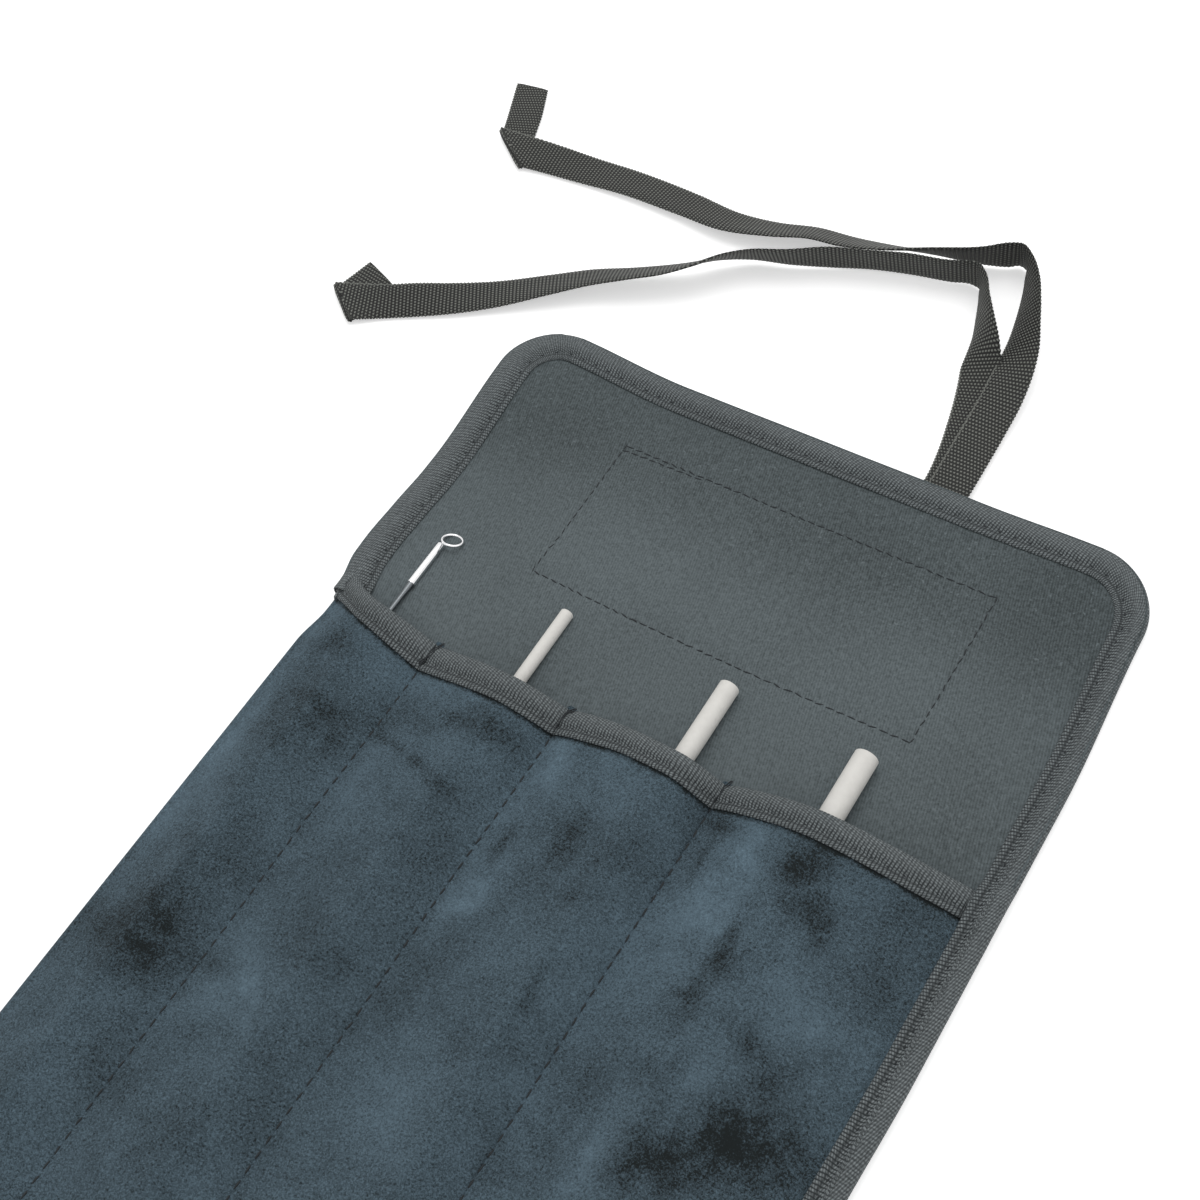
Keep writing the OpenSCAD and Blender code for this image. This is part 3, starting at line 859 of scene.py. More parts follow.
    def mouth_y(self, x: Values) -> Values:
        """Where the pocket mouths' edge runs."""
        return self.eased(self.mouth_edge, x)

    def eased(self, knots: tuple[tuple[float, float], ...], x: Values) -> Values:
        """A line through knots with its corners rounded off."""
        at, value = np.array(knots, float).T
        return sum(np.interp(np.asarray(x, float) + k, at, value) for k in (-3, -1.5, 0, 1.5, 3)) / 5

    def pile_and_painted_light(self, x: Values, y: Values) -> Values:
        """How dark the velvet's pile lies at a place, with the table's painted light and a painted shadow
        along the mouth tape's inner edge.
        """
        total = np.zeros(np.shape(x))
        for cx, cy, half_x, half_y, turn, strength in self.nap_and_painted_light:
            c, s = math.cos(math.radians(turn)), math.sin(math.radians(turn))
            u, v = ((x - cx) * c + (y - cy) * s) / half_x, ((y - cy) * c - (x - cx) * s) / half_y
            total = total + strength * np.exp(-(np.hypot(u, v) ** 2) * 0.8)
        # Painted shadow: a dark line on the velvet along the mouth tape's inner edge, standing in for the
        # tape's shade.
        tape_shadow_offset = y - self.mouth_y(x) + self.eased(self.mouth_width, x)
        return total + 1.6 * np.exp(-((tape_shadow_offset / 0.9) ** 2))

    def taper(self, y: Values) -> Values:
        """How much of a pocket's rise is left at y."""
        return smooth(self.bottom + 10, self.bottom + 38, y)

    def front(self, i: int, step: float = 1.0) -> tuple[np.ndarray, np.ndarray, np.ndarray]:
        """The line across pocket i's front, as the velvet's inner side.

        Args:
            i: the pocket.
            step: the spacing of its points.

        Returns:
            X, height with no rise, and rise, at each point.
        """
        low, high = self.span(i)
        low = self.fold_x if i == 1 else low
        high = self.arch_end if i == 4 else high
        crown = self.crowns[i - 1]
        x = np.linspace(low, high, int((high - low) / step) + 1)
        share = np.where(x < crown, (crown - x) / (crown - low), (x - crown) / (high - crown))
        rise = self.rises[i - 1] * (1 - np.clip(share, 0, 1) ** 1.8)
        base = np.full_like(x, self.column_z[3])
        if i == 4:
            tail = np.arange(high + step, self.right - 1.5, step)
            x = np.concatenate([x, tail])
            base = np.concatenate([base, np.full_like(tail, base[0])])
            rise = np.concatenate([rise, np.zeros_like(tail)])
        if i == 1:
            turn = np.radians(np.linspace(270, 100, 12))
            r = self.fold_r - self.velvet_t
            x = np.concatenate([self.fold_x + r * np.cos(turn), x])
            base = np.concatenate([self.fold_z + r * np.sin(turn), base])
            rise = np.concatenate([np.zeros_like(turn), rise])
        return x, base, rise

    def front_grid(self, i: int, ys: Grid, offset: Values, step: float = 1.0) -> Grid:
        """Points over pocket i's front.

        Args:
            i: the pocket.
            ys: how far up each point is, rows by the front line's points.
            offset: how far off the velvet's inner side each point stands.
            step: the spacing of the front line's points.

        Returns:
            The points, rows by columns by three.
        """
        x, base, rise = self.front(i, step)
        x = np.broadcast_to(x, ys.shape)
        crown = self.rises[i - 1]
        sharp = 1 - 0.38 * smooth(38, 8, ys)
        rise = crown * (1 - np.clip(1 - rise / crown, 0, 1) ** sharp)
        z = base + rise * self.taper(ys) + self.slack(i, x, ys)
        x = x + 1.6 * smooth(24, 37, ys) * smooth(-88, -101, x)
        dx, dz = np.gradient(x, axis=1), np.gradient(z, axis=1)
        size = np.hypot(dx, dz)
        nx, nz = -dz / size, dx / size
        for side, at in ((0, i > 1), (-1, True)):
            if at:
                nx[:, side], nz[:, side] = 0, 1
        offset = np.broadcast_to(offset, ys.shape)
        return np.stack([x + nx * offset, ys, z + nz * offset], -1)

    def slack(self, i: int, x: Values, y: Values) -> Values:
        """How pocket i's velvet rumples: slow folds on its crown, and puckers at the seams."""
        low, high = self.span(i)
        inside = np.clip(np.minimum(x - max(low, self.fold_x), min(high, self.arch_end) - x) / 12, 0, 1)
        folds = 0.5 * np.sin(y / 17 + x / 9 + i) + 0.35 * np.sin(y / 9.5 - x / 14 + 2 * i)
        calm = smooth(46, 20, y) * self.taper(y)
        near = np.minimum(abs(x - low) if i > 1 else 99, abs(x - high) if i < 4 else 99)
        pucker = 0.22 * np.cos(2 * math.pi * y / 4.2) * np.exp(-near / 2.2) * np.clip(near / 0.8, 0, 1)
        return (folds * inside**2 * 0.8 + pucker) * calm


# ---- the case ----


@dataclass(frozen=True)
class Layer:
    """One layer of a column: a cloth or the wadding.

    levels are the ones under and above it, run is where it starts and ends, inset is how far it stops short
    of the outline, nodes are what it stands for, and flat is its flat length in metres, which is not used.
    bends is True where it crosses the flap's fold.
    """

    name: str
    levels: tuple[int, int]
    run: tuple[float, float]
    inset: float
    finish: str
    slot: str
    nodes: tuple[str, ...]
    flat: float = 0.0
    bends: bool = True


# The seams' hinges: their height, and how far from them the gussets' curved faces stand.
HINGE_Z = 6.2
GUSSET_R = 5.66
# How far a gusset stands clear of the hinge's plane.
GUSSET_GAP = 0.02
# The level at the top of the lining.
LINING_TOP = 3
LAYERS = (
    Layer("twill_lining", (2, 3), (-159.4, 157.3), 0.8, "twill", "twill", ("lining", "flap_lining"), 0.319),
    Layer("wadding", (1, 2), (-159.2, 157.1), 1.0, "felt", "padding", ("padding", "flap_padding")),
    Layer("twill_back", (0, 1), (44.0, 157.3), 0.8, "twill", "twill", ("upper_back", "flap_back"), 0.1154),
    Layer("velvet_back", (0, 1), (-159.4, 44.0), 0.8, "velvet", "velvet", ("pocket_back",), 0.2034, False),
)


@dataclass
class Case:
    """The cloth layers of the case, cut at the divider seams."""

    shop: Workshop
    form: Form = field(default_factory=Form)
    step: float = 1.5

    def dress(self, piece: Piece, i: int) -> Piece:
        """Bakes the placement of a piece of column i into its mesh, and returns it."""
        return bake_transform(piece)

    def slab(self, layer: Layer, i: int) -> Piece:
        """Makes one layer of column i. Returns it, not yet on a body."""
        form = self.form
        low, high = layer.levels
        start, end = layer.run
        ys = np.linspace(start, end, int((end - start) / self.step) + 1)
        left, right = form.limits(i, ys, layer.inset)
        share = np.linspace(0, 1, int((right - left).max() / self.step) + 1)
        x = left[:, None] + (right - left)[:, None] * share
        y = np.broadcast_to(ys[:, None], x.shape)
        ease = form.ripple(x, y) + form.lift(x, y)
        top = form.lining(x, y) if high == LINING_TOP else form.level(high, y) + ease
        under = form.level(low, y) + ease
        outer, inner = (np.stack([x, y, z], -1) for z in (top, under))
        finish = getattr(self.shop, layer.finish)
        piece = thick_sheet(f"{layer.name}_{i}", outer, inner, finish, outer[..., :2])
        if high == LINING_TOP:
            # Painted shade: the lining darkens towards the flap's end and the right side, with a slow wave,
            # standing in for the light falling off there.
            shade = 0.3 * smooth(92, 128, y) + 0.12 * smooth(60, 85, x)
            shade -= 0.05 * np.sin(x / 19) * np.sin(y / 23)
            write_value(piece, "nap_and_painted_light", np.concatenate([shade.ravel()] * 2))
        return piece

    def layers(self, i: int) -> None:
        """Makes column i's lining, wadding and backs, from the hem to the flap's end."""
        low, high = self.form.span(i)
        for layer in LAYERS:
            piece = self.slab(layer, i)
            if layer.bends:
                self.dress(piece, i)
            else:
                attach(piece, f"column_{i}")
            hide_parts(*(f"{node}_{i}" for node in layer.nodes))

    def pocket(self, i: int) -> None:
        """Makes pocket i's velvet front, arched over its tool and flat at its seams."""
        form = self.form
        x, _, _ = form.front(i)
        top = form.mouth_y(x) - 0.8
        share = 1 - (1 - np.linspace(0, 1, 201)[:, None]) ** 1.5
        ys = (form.bottom + form.velvet_start) * (1 - share) + top * share
        outer, inner = (form.front_grid(i, ys, t) for t in (form.velvet_t, 0.0))
        if i == 4:
            self.round_corner(outer)
            self.round_corner(inner)
        piece = thick_sheet(f"velvet_pocket_{i}", outer, inner, self.shop.velvet)
        shades = [form.pile_and_painted_light(side[..., 0], side[..., 1]).ravel() for side in (outer, inner)]
        write_value(piece, "nap_and_painted_light", np.concatenate(shades))
        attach(piece, f"column_{i}")
        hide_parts(f"pocket_front_{i}")
        low, high = form.span(i)

    def round_corner(self, points: Grid) -> None:
        """Draws column four's cloth in at the hem's rounded corner, in place."""
        form = self.form
        r = form.right_r
        down = np.clip(form.bottom + r - points[..., 1], 0, r - 1.2)
        limit = form.right - 1.0 - r + np.sqrt((r - 1.0) ** 2 - down**2)
        low = form.seams[2]
        share = (points[..., 0] - low) / (form.right - 1.0 - low)
        squeeze = smooth(form.bottom + r, form.bottom + r - 2, points[..., 1])
        points[..., 0] += squeeze * (low + share * (limit - low) - points[..., 0])

    def gussets(self) -> None:
        """Makes the wedges inside each seam that close the gap between two rolled columns."""
        form, shop = self.form, self.shop
        halves = (
            ("low", -158.6, 43.0, shop.velvet, 0.75),
            ("high", 43.2, form.top - 1.2, shop.twill, -0.45),
        )
        for s, x in enumerate(form.seams, 1):
            for side, i in ((-1, s + 1), (1, s)):
                for name, start, end, material, rise in halves:
                    ys = np.linspace(start, end, int((end - start) / 3) + 1)
                    top = form.level(3, ys) + (form.pillow(x, ys) if name == "high" else 0) + rise
                    ease = form.ripple(x, ys) + form.lift(x, ys)
                    label = f"gusset_{s}_{name}_{'left' if side < 0 else 'right'}"
                    piece = self.gusset(label, x, side, ys, top, ease, material)
                    if name == "high":
                        self.dress(piece, i)
                    else:
                        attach(piece, f"column_{i}")

    def gusset(
        self, name: str, x: float, side: int, ys: Grid, top: Grid, ease: Grid, material: Finish
    ) -> Piece:
        """Makes one wedge: a face curved round the seam's hinge, over a flat one along the cloth.

        Args:
            name: the piece's name.
            x: the seam.
            side: -1 for the wedge left of the seam, or 1.
            ys: how far up each row of its points is.
            top: height of the cloth's top at each row, before the ease.
            ease: how far the cloth strays from its level at each row.
            material: its finish.

        Returns:
            The wedge, not yet on a body.
        """
        turn = np.radians(np.linspace(0, 44, 9))
        arc_x, arc_z = GUSSET_R * np.sin(turn), HINGE_Z - GUSSET_R * np.cos(turn)
        lid = np.clip(HINGE_Z - top, 0.3, None)[:, None] * np.linspace(0.0, 0.97, 9)
        far = np.broadcast_to(x + side * (GUSSET_GAP + arc_x), lid.shape)
        rows = np.broadcast_to(ys[:, None], lid.shape)
        level = np.broadcast_to((top + ease)[:, None], lid.shape)
        outer = np.stack([far, rows, arc_z + ease[:, None]], -1)
        inner = np.stack([x + side * (GUSSET_GAP + lid), rows, level], -1)
        return thick_sheet(name, outer, inner, material, outer[..., :2])

    def build(self) -> None:
        """Builds every layer of the case."""
        for i in COLUMNS:
            self.layers(i)
            self.pocket(i)
            LOG.info("column %d: lining, wadding, backs and pocket", i)
        self.gussets()
        LOG.info("seam gussets")


@dataclass
class Bindings:
    """The ribbed tape round the case's edge and the pocket mouths, and the stitches that hold it."""

    shop: Workshop
    case: Case
    step: float = 0.26
    tape_t: float = 0.45
    # The width that the mouth tape's section is drawn at, before it is narrowed to what shows.
    mouth_w: float = 9.0
    # The tape's section: from its inner edge over the selvedge and the stitched groove to the rolled outer
    # edge. Each is how far from the inner edge, and how far above the cloth.
    top_leg: tuple[tuple[float, float], ...] = (
        (0.1, 0.05), (-0.05, 0.4), (0.2, 0.7), (1.0, 0.85), (1.8, 0.75), (2.3, 0.5), (2.8, 0.36),
        (3.2, 0.55), (3.8, 0.86), (4.8, 1.06),
    )

    def outline(
        self, left: float, right: float, top: float, bottom: float, left_r: float, right_r: float
    ) -> list[Grid]:
        """The runs of a rounded outline, from the mouth's left end round the flap to the hem's left end.

        Args:
            left: X of its left side.
            right: X of its right side.
            top: Y of its end.
            bottom: Y of its hem.
            left_r: radius of its left corner.
            right_r: radius of its right corners.

        Returns:
            The plan points of each run: left side, corner, three cuts and the rest of the top, corner, right
            side, corner, and the hem in four.
        """
        form = self.case.form
        seams = form.seams

        def straight(a: tuple[float, float], b: tuple[float, float], length: float) -> Grid:
            """Points from a to b, for a run of that length on the outer edge."""
            share = np.linspace(0, 1, int(length / self.step) + 2)[:, None]
            return np.array(a) * (1 - share) + np.array(b) * share

        def corner(cx: float, cy: float, r: float, start: float, end: float, length: float) -> Grid:
            """Points round a corner, for a run of that length on the outer edge."""
            turn = np.radians(np.linspace(start, end, int(length / self.step) + 2))
            return np.stack([cx + r * np.cos(turn), cy + r * np.sin(turn)], -1)

        outer_l, outer_r = form.left_r * math.pi / 2, form.right_r * math.pi / 2
        tops = [left + left_r, *seams, right - right_r]
        hems = [right - right_r, *reversed(seams), form.hem_end]
        far = form.right - form.right_r
        long_tops = np.diff([form.left + form.left_r, *seams, far])
        long_hems = -np.diff([far, *reversed(seams), form.hem_end])
        return [
            straight((left, 44.0), (left, top - left_r), form.top - form.left_r - 44),
            corner(left + left_r, top - left_r, left_r, 180, 90, outer_l),
            *(straight((a, top), (b, top), span) for a, b, span in zip(tops, tops[1:], long_tops)),
            corner(right - right_r, top - right_r, right_r, 90, 0, outer_r),
            straight((right, top - right_r), (right, bottom + right_r), 2 * (form.top - form.right_r)),
            corner(right - right_r, bottom + right_r, right_r, 0, -90, outer_r),
            *(straight((a, bottom), (b, bottom), span) for a, b, span in zip(hems, hems[1:], long_hems)),
        ]

    def section(self, width: float, height: float) -> Grid:
        """The tape's section round a cloth edge.

        Args:
            width: how far its top leg reaches in.
            height: how thick the cloth is there.

        Returns:
            Points as how far in from the outer edge, and height.
        """
        top = [(width - a, height + z) for a, z in self.top_leg]
        roll = [(3.6, 0.8), (2.4, 0.5), (1.4, 0.05), (0.6, -0.6)]
        side = [(0.2, 0.72), (0.0, 0.5), (0.2, 0.27), (0.8, 0.07), (1.9, 0.01)]
        return np.array(
            top
            + [(0.5 * width, height + 1.02)]
            + [(a, height + z) for a, z in roll]
            + [(a, height * z) for a, z in side]
            + [(0.4 * width, 0.0), (0.7 * width, 0.0), (width - 1.2, 0.02)]
        )

    def inside(self, section: Grid) -> Grid:
        """The section's inner side, the tape's thickness inside it."""
        ahead = unit(np.gradient(section, axis=0))
        return section + self.tape_t * np.stack([-ahead[:, 1], ahead[:, 0]], -1)

    def cloth_top(self, x: Values, y: Values) -> Values:
        """Height of the cloth under the edge tape, without the corner's lift: velvet, and above it lining."""
        form = self.case.form
        velvet = form.column_z[3] + form.velvet_t
        bare = form.level(3, y)
        share = smooth(form.mouth + 1, form.mouth + 8, y)
        under = 1.0 * smooth(33, 36.5, y) * smooth(50, 46, y) * (np.asarray(x) > 0)
        return velvet * (1 - share) + bare * share + under

    def sweep(self, name: str, outer: Grid, inner: Grid, start: float) -> tuple[Piece, Grid, float]:
        """Makes the edge tape between two plan lines.

        Args:
            name: the piece's name.
            outer: plan points of the case's edge.
            inner: plan points of the tape's inner edge.
            start: how far along the whole tape it starts.

        Returns:
            The tape, the line of its stitches, and how far along it ends.
        """
        form = self.case.form
        along = start + distances(outer)
        width = np.linalg.norm(inner - outer, axis=1)
        into = (inner - outer) / width[:, None]
        height = self.cloth_top(inner[:, 0], inner[:, 1])
        sections = np.stack([self.section(w, h) for w, h in zip(width, height)])
        shells = []
        for points in (sections, np.stack([self.inside(s) for s in sections])):
            plan = outer[:, None] + into[:, None] * points[..., :1]
            z = points[..., 1] + form.lift(plan[..., 0], plan[..., 1])
            shells.append(np.concatenate([plan, z[..., None]], -1))
        across = distances(sections[0])
        slant = 0.22 * np.sin(along / 60 + 0.6) + 0.05 * np.sin(along / 3.1)
        run = np.stack(np.broadcast_arrays(along[:, None] + slant[:, None] * (across - 5), across[None]), -1)
        places = [0, 0.6, 2.6, 3.4, 5.0, 7.0, 10.0, across[-4]]
        proud = np.interp(across, places, [0.3, 0.5, 0.1, 0.8, 1, 0.9, 0.3, 0.2])
        piece = self.shop.ribbed(name, shells[0], shells[1], run, np.broadcast_to(proud, run.shape[:2]))
        groove = shells[0][:, GROOVE]
        return piece, groove + [0, 0, 0.05], float(along[-1])

    def edges(self) -> None:
        """Makes the tape round the flap, down both sides and along the hem."""
        form, case = self.case.form, self.case
        sides = (form.left, form.right, form.top, form.bottom)
        inset = (form.tape_left, -form.tape_right, -form.tape_top, form.tape_top)
        outer = self.outline(*sides, form.left_r, form.right_r)
        inner = self.outline(*(a + b for a, b in zip(sides, inset)), 9.5, 14.0)
        pieces = {
            "edge_tape_1": ((0, 1, 2), 1, ("flap_binding_1", "side_binding")),
            "edge_tape_2": ((3,), 2, ("flap_binding_2",)),
            "edge_tape_3": ((4,), 3, ("flap_binding_3",)),
            "edge_tape_4": ((5, 6, 7, 8, 9), 4, ("flap_binding_4", "edge_binding_4")),
            "hem_tape_3": ((10,), 3, ("edge_binding_3",)),
            "hem_tape_2": ((11,), 2, ("edge_binding_2",)),
            "hem_tape_1": ((12,), 1, ("edge_binding_1",)),
        }
        start = 0.0
        for name, (runs, i, nodes) in pieces.items():
            lines = [
                np.concatenate([side[k][: None if k == runs[-1] else -1] for k in runs])
                for side in (outer, inner)
            ]
            for line in lines:
                line[:, 0] += form.sway(line[:, 0], line[:, 1])
            piece, groove, start = self.sweep(name, lines[0], lines[1], start)
            stitches = self.shop.sewn(name.replace("tape", "stitches"), [groove], EDGE_STITCH, i)
            for made in (piece, stitches):
                if name.startswith("edge"):
                    case.dress(made, i)
                else:
                    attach(made, f"column_{i}")
            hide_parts(*nodes)
            LOG.info("%s", name)

    def mouths(self) -> None:
        """Makes the tape round each pocket's mouth, inside and out, and its strip on the back."""
        form = self.case.form
        nose = [(3.0, 1.0), (2.0, 0.95), (1.1, 0.75), (0.4, 0.3), (0.0, -0.4), (0.3, -1.05)]
        leg = [(1.2, -1.45), (4.0, -1.45), (8.0, -1.45)]
        section = np.array([(self.mouth_w - a, z) for a, z in self.top_leg] + nose + leg)
        across = distances(section)
        places = [0, 0.6, 2.6, 3.4, 5.0, across[-5], across[-3]]
        proud = np.interp(across, places, [0.3, 0.5, 0.1, 0.7, 1, 1, 0.2])
        start = 0.0
        for i in COLUMNS:
            x, base, rise = form.front(i, self.step)
            keep = x < form.right - form.tape_right + 2.0 if i == 4 else np.full(x.shape, True)
            height = base + rise
            along = start + distances(np.stack([x, height], -1))
            shells = []
            narrow = form.eased(form.mouth_width, x)[None] / self.mouth_w
            for points, rests_at in ((section, 0.02), (self.inside(section), 0.02 + self.tape_t)):
                ys = form.mouth_y(x)[None] - points[:, :1] * narrow
                grid = form.front_grid(i, ys, form.velvet_t + points[:, 1:2], self.step)
                grid[..., 2] = np.maximum(grid[..., 2], rests_at)
                shells.append(grid.transpose(1, 0, 2)[keep])
            run = np.stack(np.broadcast_arrays(along[keep][:, None], across[None]), -1)
            stands = np.broadcast_to(proud, run.shape[:2])
            piece = self.shop.ribbed(f"mouth_tape_{i}", *shells, run, stands)
            stitches = self.shop.sewn(f"mouth_stitches_{i}", [shells[0][3:-3, GROOVE]], MOUTH_STITCH, 10 + i)
            for made in (piece, stitches):
                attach(made, f"column_{i}")
            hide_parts(f"mouth_binding_{i}")
            start = float(along[-1])
            self.back_strip(i)
        LOG.info("mouth tapes")

    def back_strip(self, i: int) -> None:
        """Makes the mouth tape's strip across the back of column i."""
        form = self.case.form
        low, high = form.span(i)
        low = form.fold_x if i == 1 else low
        high = form.right - form.tape_right - 0.3 if i == 4 else high
        x = np.linspace(low, high, int((high - low) / self.step) + 1)
        low_part = [(35.0, 0.45), (35.1, 0.12), (35.6, 0.0), (37.4, 0.0), (38.0, 0.12), (38.6, 0.0)]
        high_part = [(41.5, 0.0), (43.8, 0.0), (44.4, 0.2), (44.5, 0.7), (44.5, 1.3)]
        section = np.array(low_part + high_part)
        across = distances(section)
        outer = np.stack(np.broadcast_arrays(x[:, None], section[None, :, 0], section[None, :, 1]), -1)
        inner = outer.copy()
        inner[..., 1] -= np.interp(across, [0, 9, 10.2], [0, 0, 0.45])
        inner[..., 2] += np.interp(across, [0, 0.4, 9, 10.2], [0.1, 0.45, 0.45, 0.0])
        run = np.stack(np.broadcast_arrays(x[:, None], across[None]), -1)
        piece = self.shop.ribbed(f"back_tape_{i}", outer, inner, run, np.full(run.shape[:2], 0.6), 0.1)
        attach(piece, f"column_{i}")
        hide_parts(f"back_binding_{i}")

    def build(self) -> None:
        """Builds every tape."""
        self.edges()
        self.mouths()


@dataclass
class Threads:
    """The seams between the pockets, the sewn panel on the flap and the bar tacks at the mouths."""

    shop: Workshop
    case: Case

    def seams(self) -> None:
        """Sews the three divider seams down the velvet."""
        form = self.case.form
        for s, x in enumerate(form.seams, 1):
            y = np.linspace(form.bottom + 9, form.mouth - 10, 120)
            height = form.column_z[3] + form.velvet_t + 0.12
            line = np.stack([x + 0.15 * np.sin(y / 13), y, np.full_like(y, height)], -1)
            piece = self.shop.sewn(f"seam_stitches_{s}", [line], SEAM_STITCH, 20 + s)
            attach(piece, f"column_{s + 1}")

    def panel(self) -> None:
        """Sews the rectangle through the flap's layers, with its first stretch gone over twice."""
        form = self.case.form
        left, right, low, high = form.panel
        # Each leg: its two ends, and how far its middle sags. The last is the stretch sewn twice.
        legs = [
            ((left, high), (right, high), 0),
            ((right, high), (right, low), 0),
            ((right, low), (left, low), -1.3),
            ((left, low), (left, high), 0),
            ((left + 0.6, high - 1.9), (-29.5, high - 1.1), 0),
        ]
        for i in COLUMNS:
            span = form.span(i)
            lines = []
            for (ax, ay), (bx, by), sag in legs:
                share = np.linspace(0.012, 0.988, 400)
                x, y = ax + (bx - ax) * share, ay + (by - ay) * share + sag * np.sin(math.pi * share)
                keep = (x >= span[0]) & (x < span[1])
                if keep.sum() > 1:
                    x, y = x[keep], y[keep]
                    lines.append(np.stack([x, y, form.lining(x, y) + 0.02], -1))
            if lines:
                piece = self.shop.sewn(f"panel_stitches_{i}", lines, PANEL_STITCH, 30 + i)
                self.case.dress(piece, i)

    def tacks(self) -> None:
        """Makes the tack that ends each divider seam on the mouth tape: a thread and its loose loops."""
        form = self.case.form
        rng = np.random.default_rng(7)
        base = form.column_z[3] + form.velvet_t + 1.25
        turn = np.linspace(0, 2 * math.pi, 21)[:-1]
        # Each loop: how far right of the seam, how far below the tape's edge, half length, half width, and
        # lean in radians.
        loops = {
            1: ((1.5, 1.0, 1.9, 0.42, 0.45), (0.7, 4.2, 1.6, 0.4, 0.35), (-0.1, 7.0, 1.2, 0.3, 0.5)),
            2: ((1.3, 0.6, 1.3, 0.45, 0.7), (0.2, 3.4, 1.7, 0.2, 0.1)),
            3: ((1.0, 0.3, 1.5, 0.4, 0.3), (0.3, 3.6, 1.6, 0.2, 0.2)),
        }
        for s, x in enumerate(form.seams, 1):
            top = float(form.mouth_y(x))
            down = np.linspace(0.6, 8.4, 14)
            stray = rng.uniform(-0.18, 0.18, 14)
            line = np.stack([x + 0.15 + stray, top - down, np.full(14, base + 0.12)], -1)
            parts = [tube(line, 0.2, 6)]
            for right, below, long, wide, lean in loops[s]:
                u, v = wide * np.cos(turn), long * np.sin(turn)
                c, s_lean = math.cos(lean), math.sin(lean)
                ring_x, ring_y = u * c + v * s_lean, v * c - u * s_lean
                height = base + 0.3 + 0.25 * np.sin(turn + right)
                ring = np.stack([x + right + ring_x, top - below + ring_y, height], -1)
                parts.append(tube(ring, 0.19, 6, closed=True))
            points, faces = joined(parts)
            piece = new_object(f"bar_tack_{s}", points, faces, self.shop.thread)
            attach(piece, f"column_{s + 1}")

    def build(self) -> None:
        """Builds every seam."""
        self.seams()
        self.panel()
        self.tacks()
        LOG.info("seams, panel and bar tacks")


# ---- ties ----


@dataclass
class Tie:
    """One webbing tie.

    Each station is x, y, z, the plan angle and the slope of the line across the webbing in degrees, and how
    much a slanting crease lengthens that line.
    """

    name: str
    node: str
    length: float
    stations: tuple[tuple[float, ...], ...]
    width: float = 12.5
    thickness: float = 1.1
    step: float = 0.3
    # How far the weft's turns stand out along the webbing's edges, from the least to the most.
    edge_wave: float = 0.4

    def edges(self) -> tuple[Grid, Grid]:
        """The webbing's two edges at each station."""
        table = np.array(self.stations, float)
        turn, tilt = np.radians(table[:, 3]), np.radians(table[:, 4])
        across = np.stack([np.cos(tilt) * np.cos(turn), np.cos(tilt) * np.sin(turn), np.sin(tilt)], -1)
        half = across * (self.width / 2 * table[:, 5])[:, None]
        return table[:, :3] - half, table[:, :3] + half

    def spline(self, points: Grid, knots: np.ndarray, at: np.ndarray) -> Grid:
        """A smooth curve through points.

        Args:
            points: the points.
            knots: how far along each is.
            at: how far along the answers are.

        Returns:
            The curve's points.
        """
        slope = np.gradient(points, knots, axis=0)
        k = np.clip(np.searchsorted(knots, at, side="right") - 1, 0, len(knots) - 2)
        gap = (knots[k + 1] - knots[k])[:, None]
        t = ((at - knots[k])[:, None]) / gap
        a, b = 2 * t**3 - 3 * t**2 + 1, t**3 - 2 * t**2 + t
        c, d = -2 * t**3 + 3 * t**2, t**3 - t**2
        return a * points[k] + b * gap * slope[k] + c * points[k + 1] + d * gap * slope[k + 1]

    def build(self, shop: Workshop) -> Piece:
        """Builds the tie, puts it on the body flap_4 and hides the part that it stands for.

        Args:
            shop: the shared finishes.

        Returns:
            The webbing.
        """
        table = np.array(self.stations, float)
        low, high = self.edges()
        creased = np.flatnonzero(table[:, 5] > 1.2)
        first, last = creased[0], creased[-1]
        far = distances(table[:, :3])
        lows, highs, places = [], [], []
        for a, b in ((0, first), (first, last), (last, len(table) - 1)):
            knots = far[a : b + 1]
            at = np.linspace(knots[0], knots[-1], max(3, int((knots[-1] - knots[0]) / self.step) + 1))
            if a != 0:
                at = at[1:]
            lows.append(self.spline(low[a : b + 1], knots, at))
            highs.append(self.spline(high[a : b + 1], knots, at))
            places.append(at)
        left, right, along = np.concatenate(lows), np.concatenate(highs), np.concatenate(places)
        share = np.linspace(0, 1, 11)[None, :, None]
        wave = np.abs(np.sin(along * math.pi / WEBBING.pitch[0])) - 0.5
        picks = self.edge_wave * wave[:, None] * (right - left) / self.width
        left, right = left - picks, right + picks
        sheet = left[:, None] * (1 - share) + right[:, None] * share
        ahead = np.gradient(sheet, axis=0)
        side = (right - left)[:, None]
        normal = unit(np.cross(side, ahead))
        round_off = np.array([0.35, 0.8, 1, 1, 1, 1, 1, 1, 1, 0.8, 0.35])[None, :, None]
        half = self.thickness / 2 * round_off
        middle_line = (left + right) / 2
        tangent = unit(np.gradient(middle_line, axis=0))
        slant = ((sheet - middle_line[:, None]) * tangent[:, None]).sum(-1)
        run = np.stack([along[:, None] + slant, np.broadcast_to(share[..., 0] * self.width, slant.shape)], -1)
        piece = thick_sheet(self.name, sheet + normal * half, sheet - normal * half, shop.webbing, run)
        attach(piece, "flap_4")
        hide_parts(self.node)
        return piece


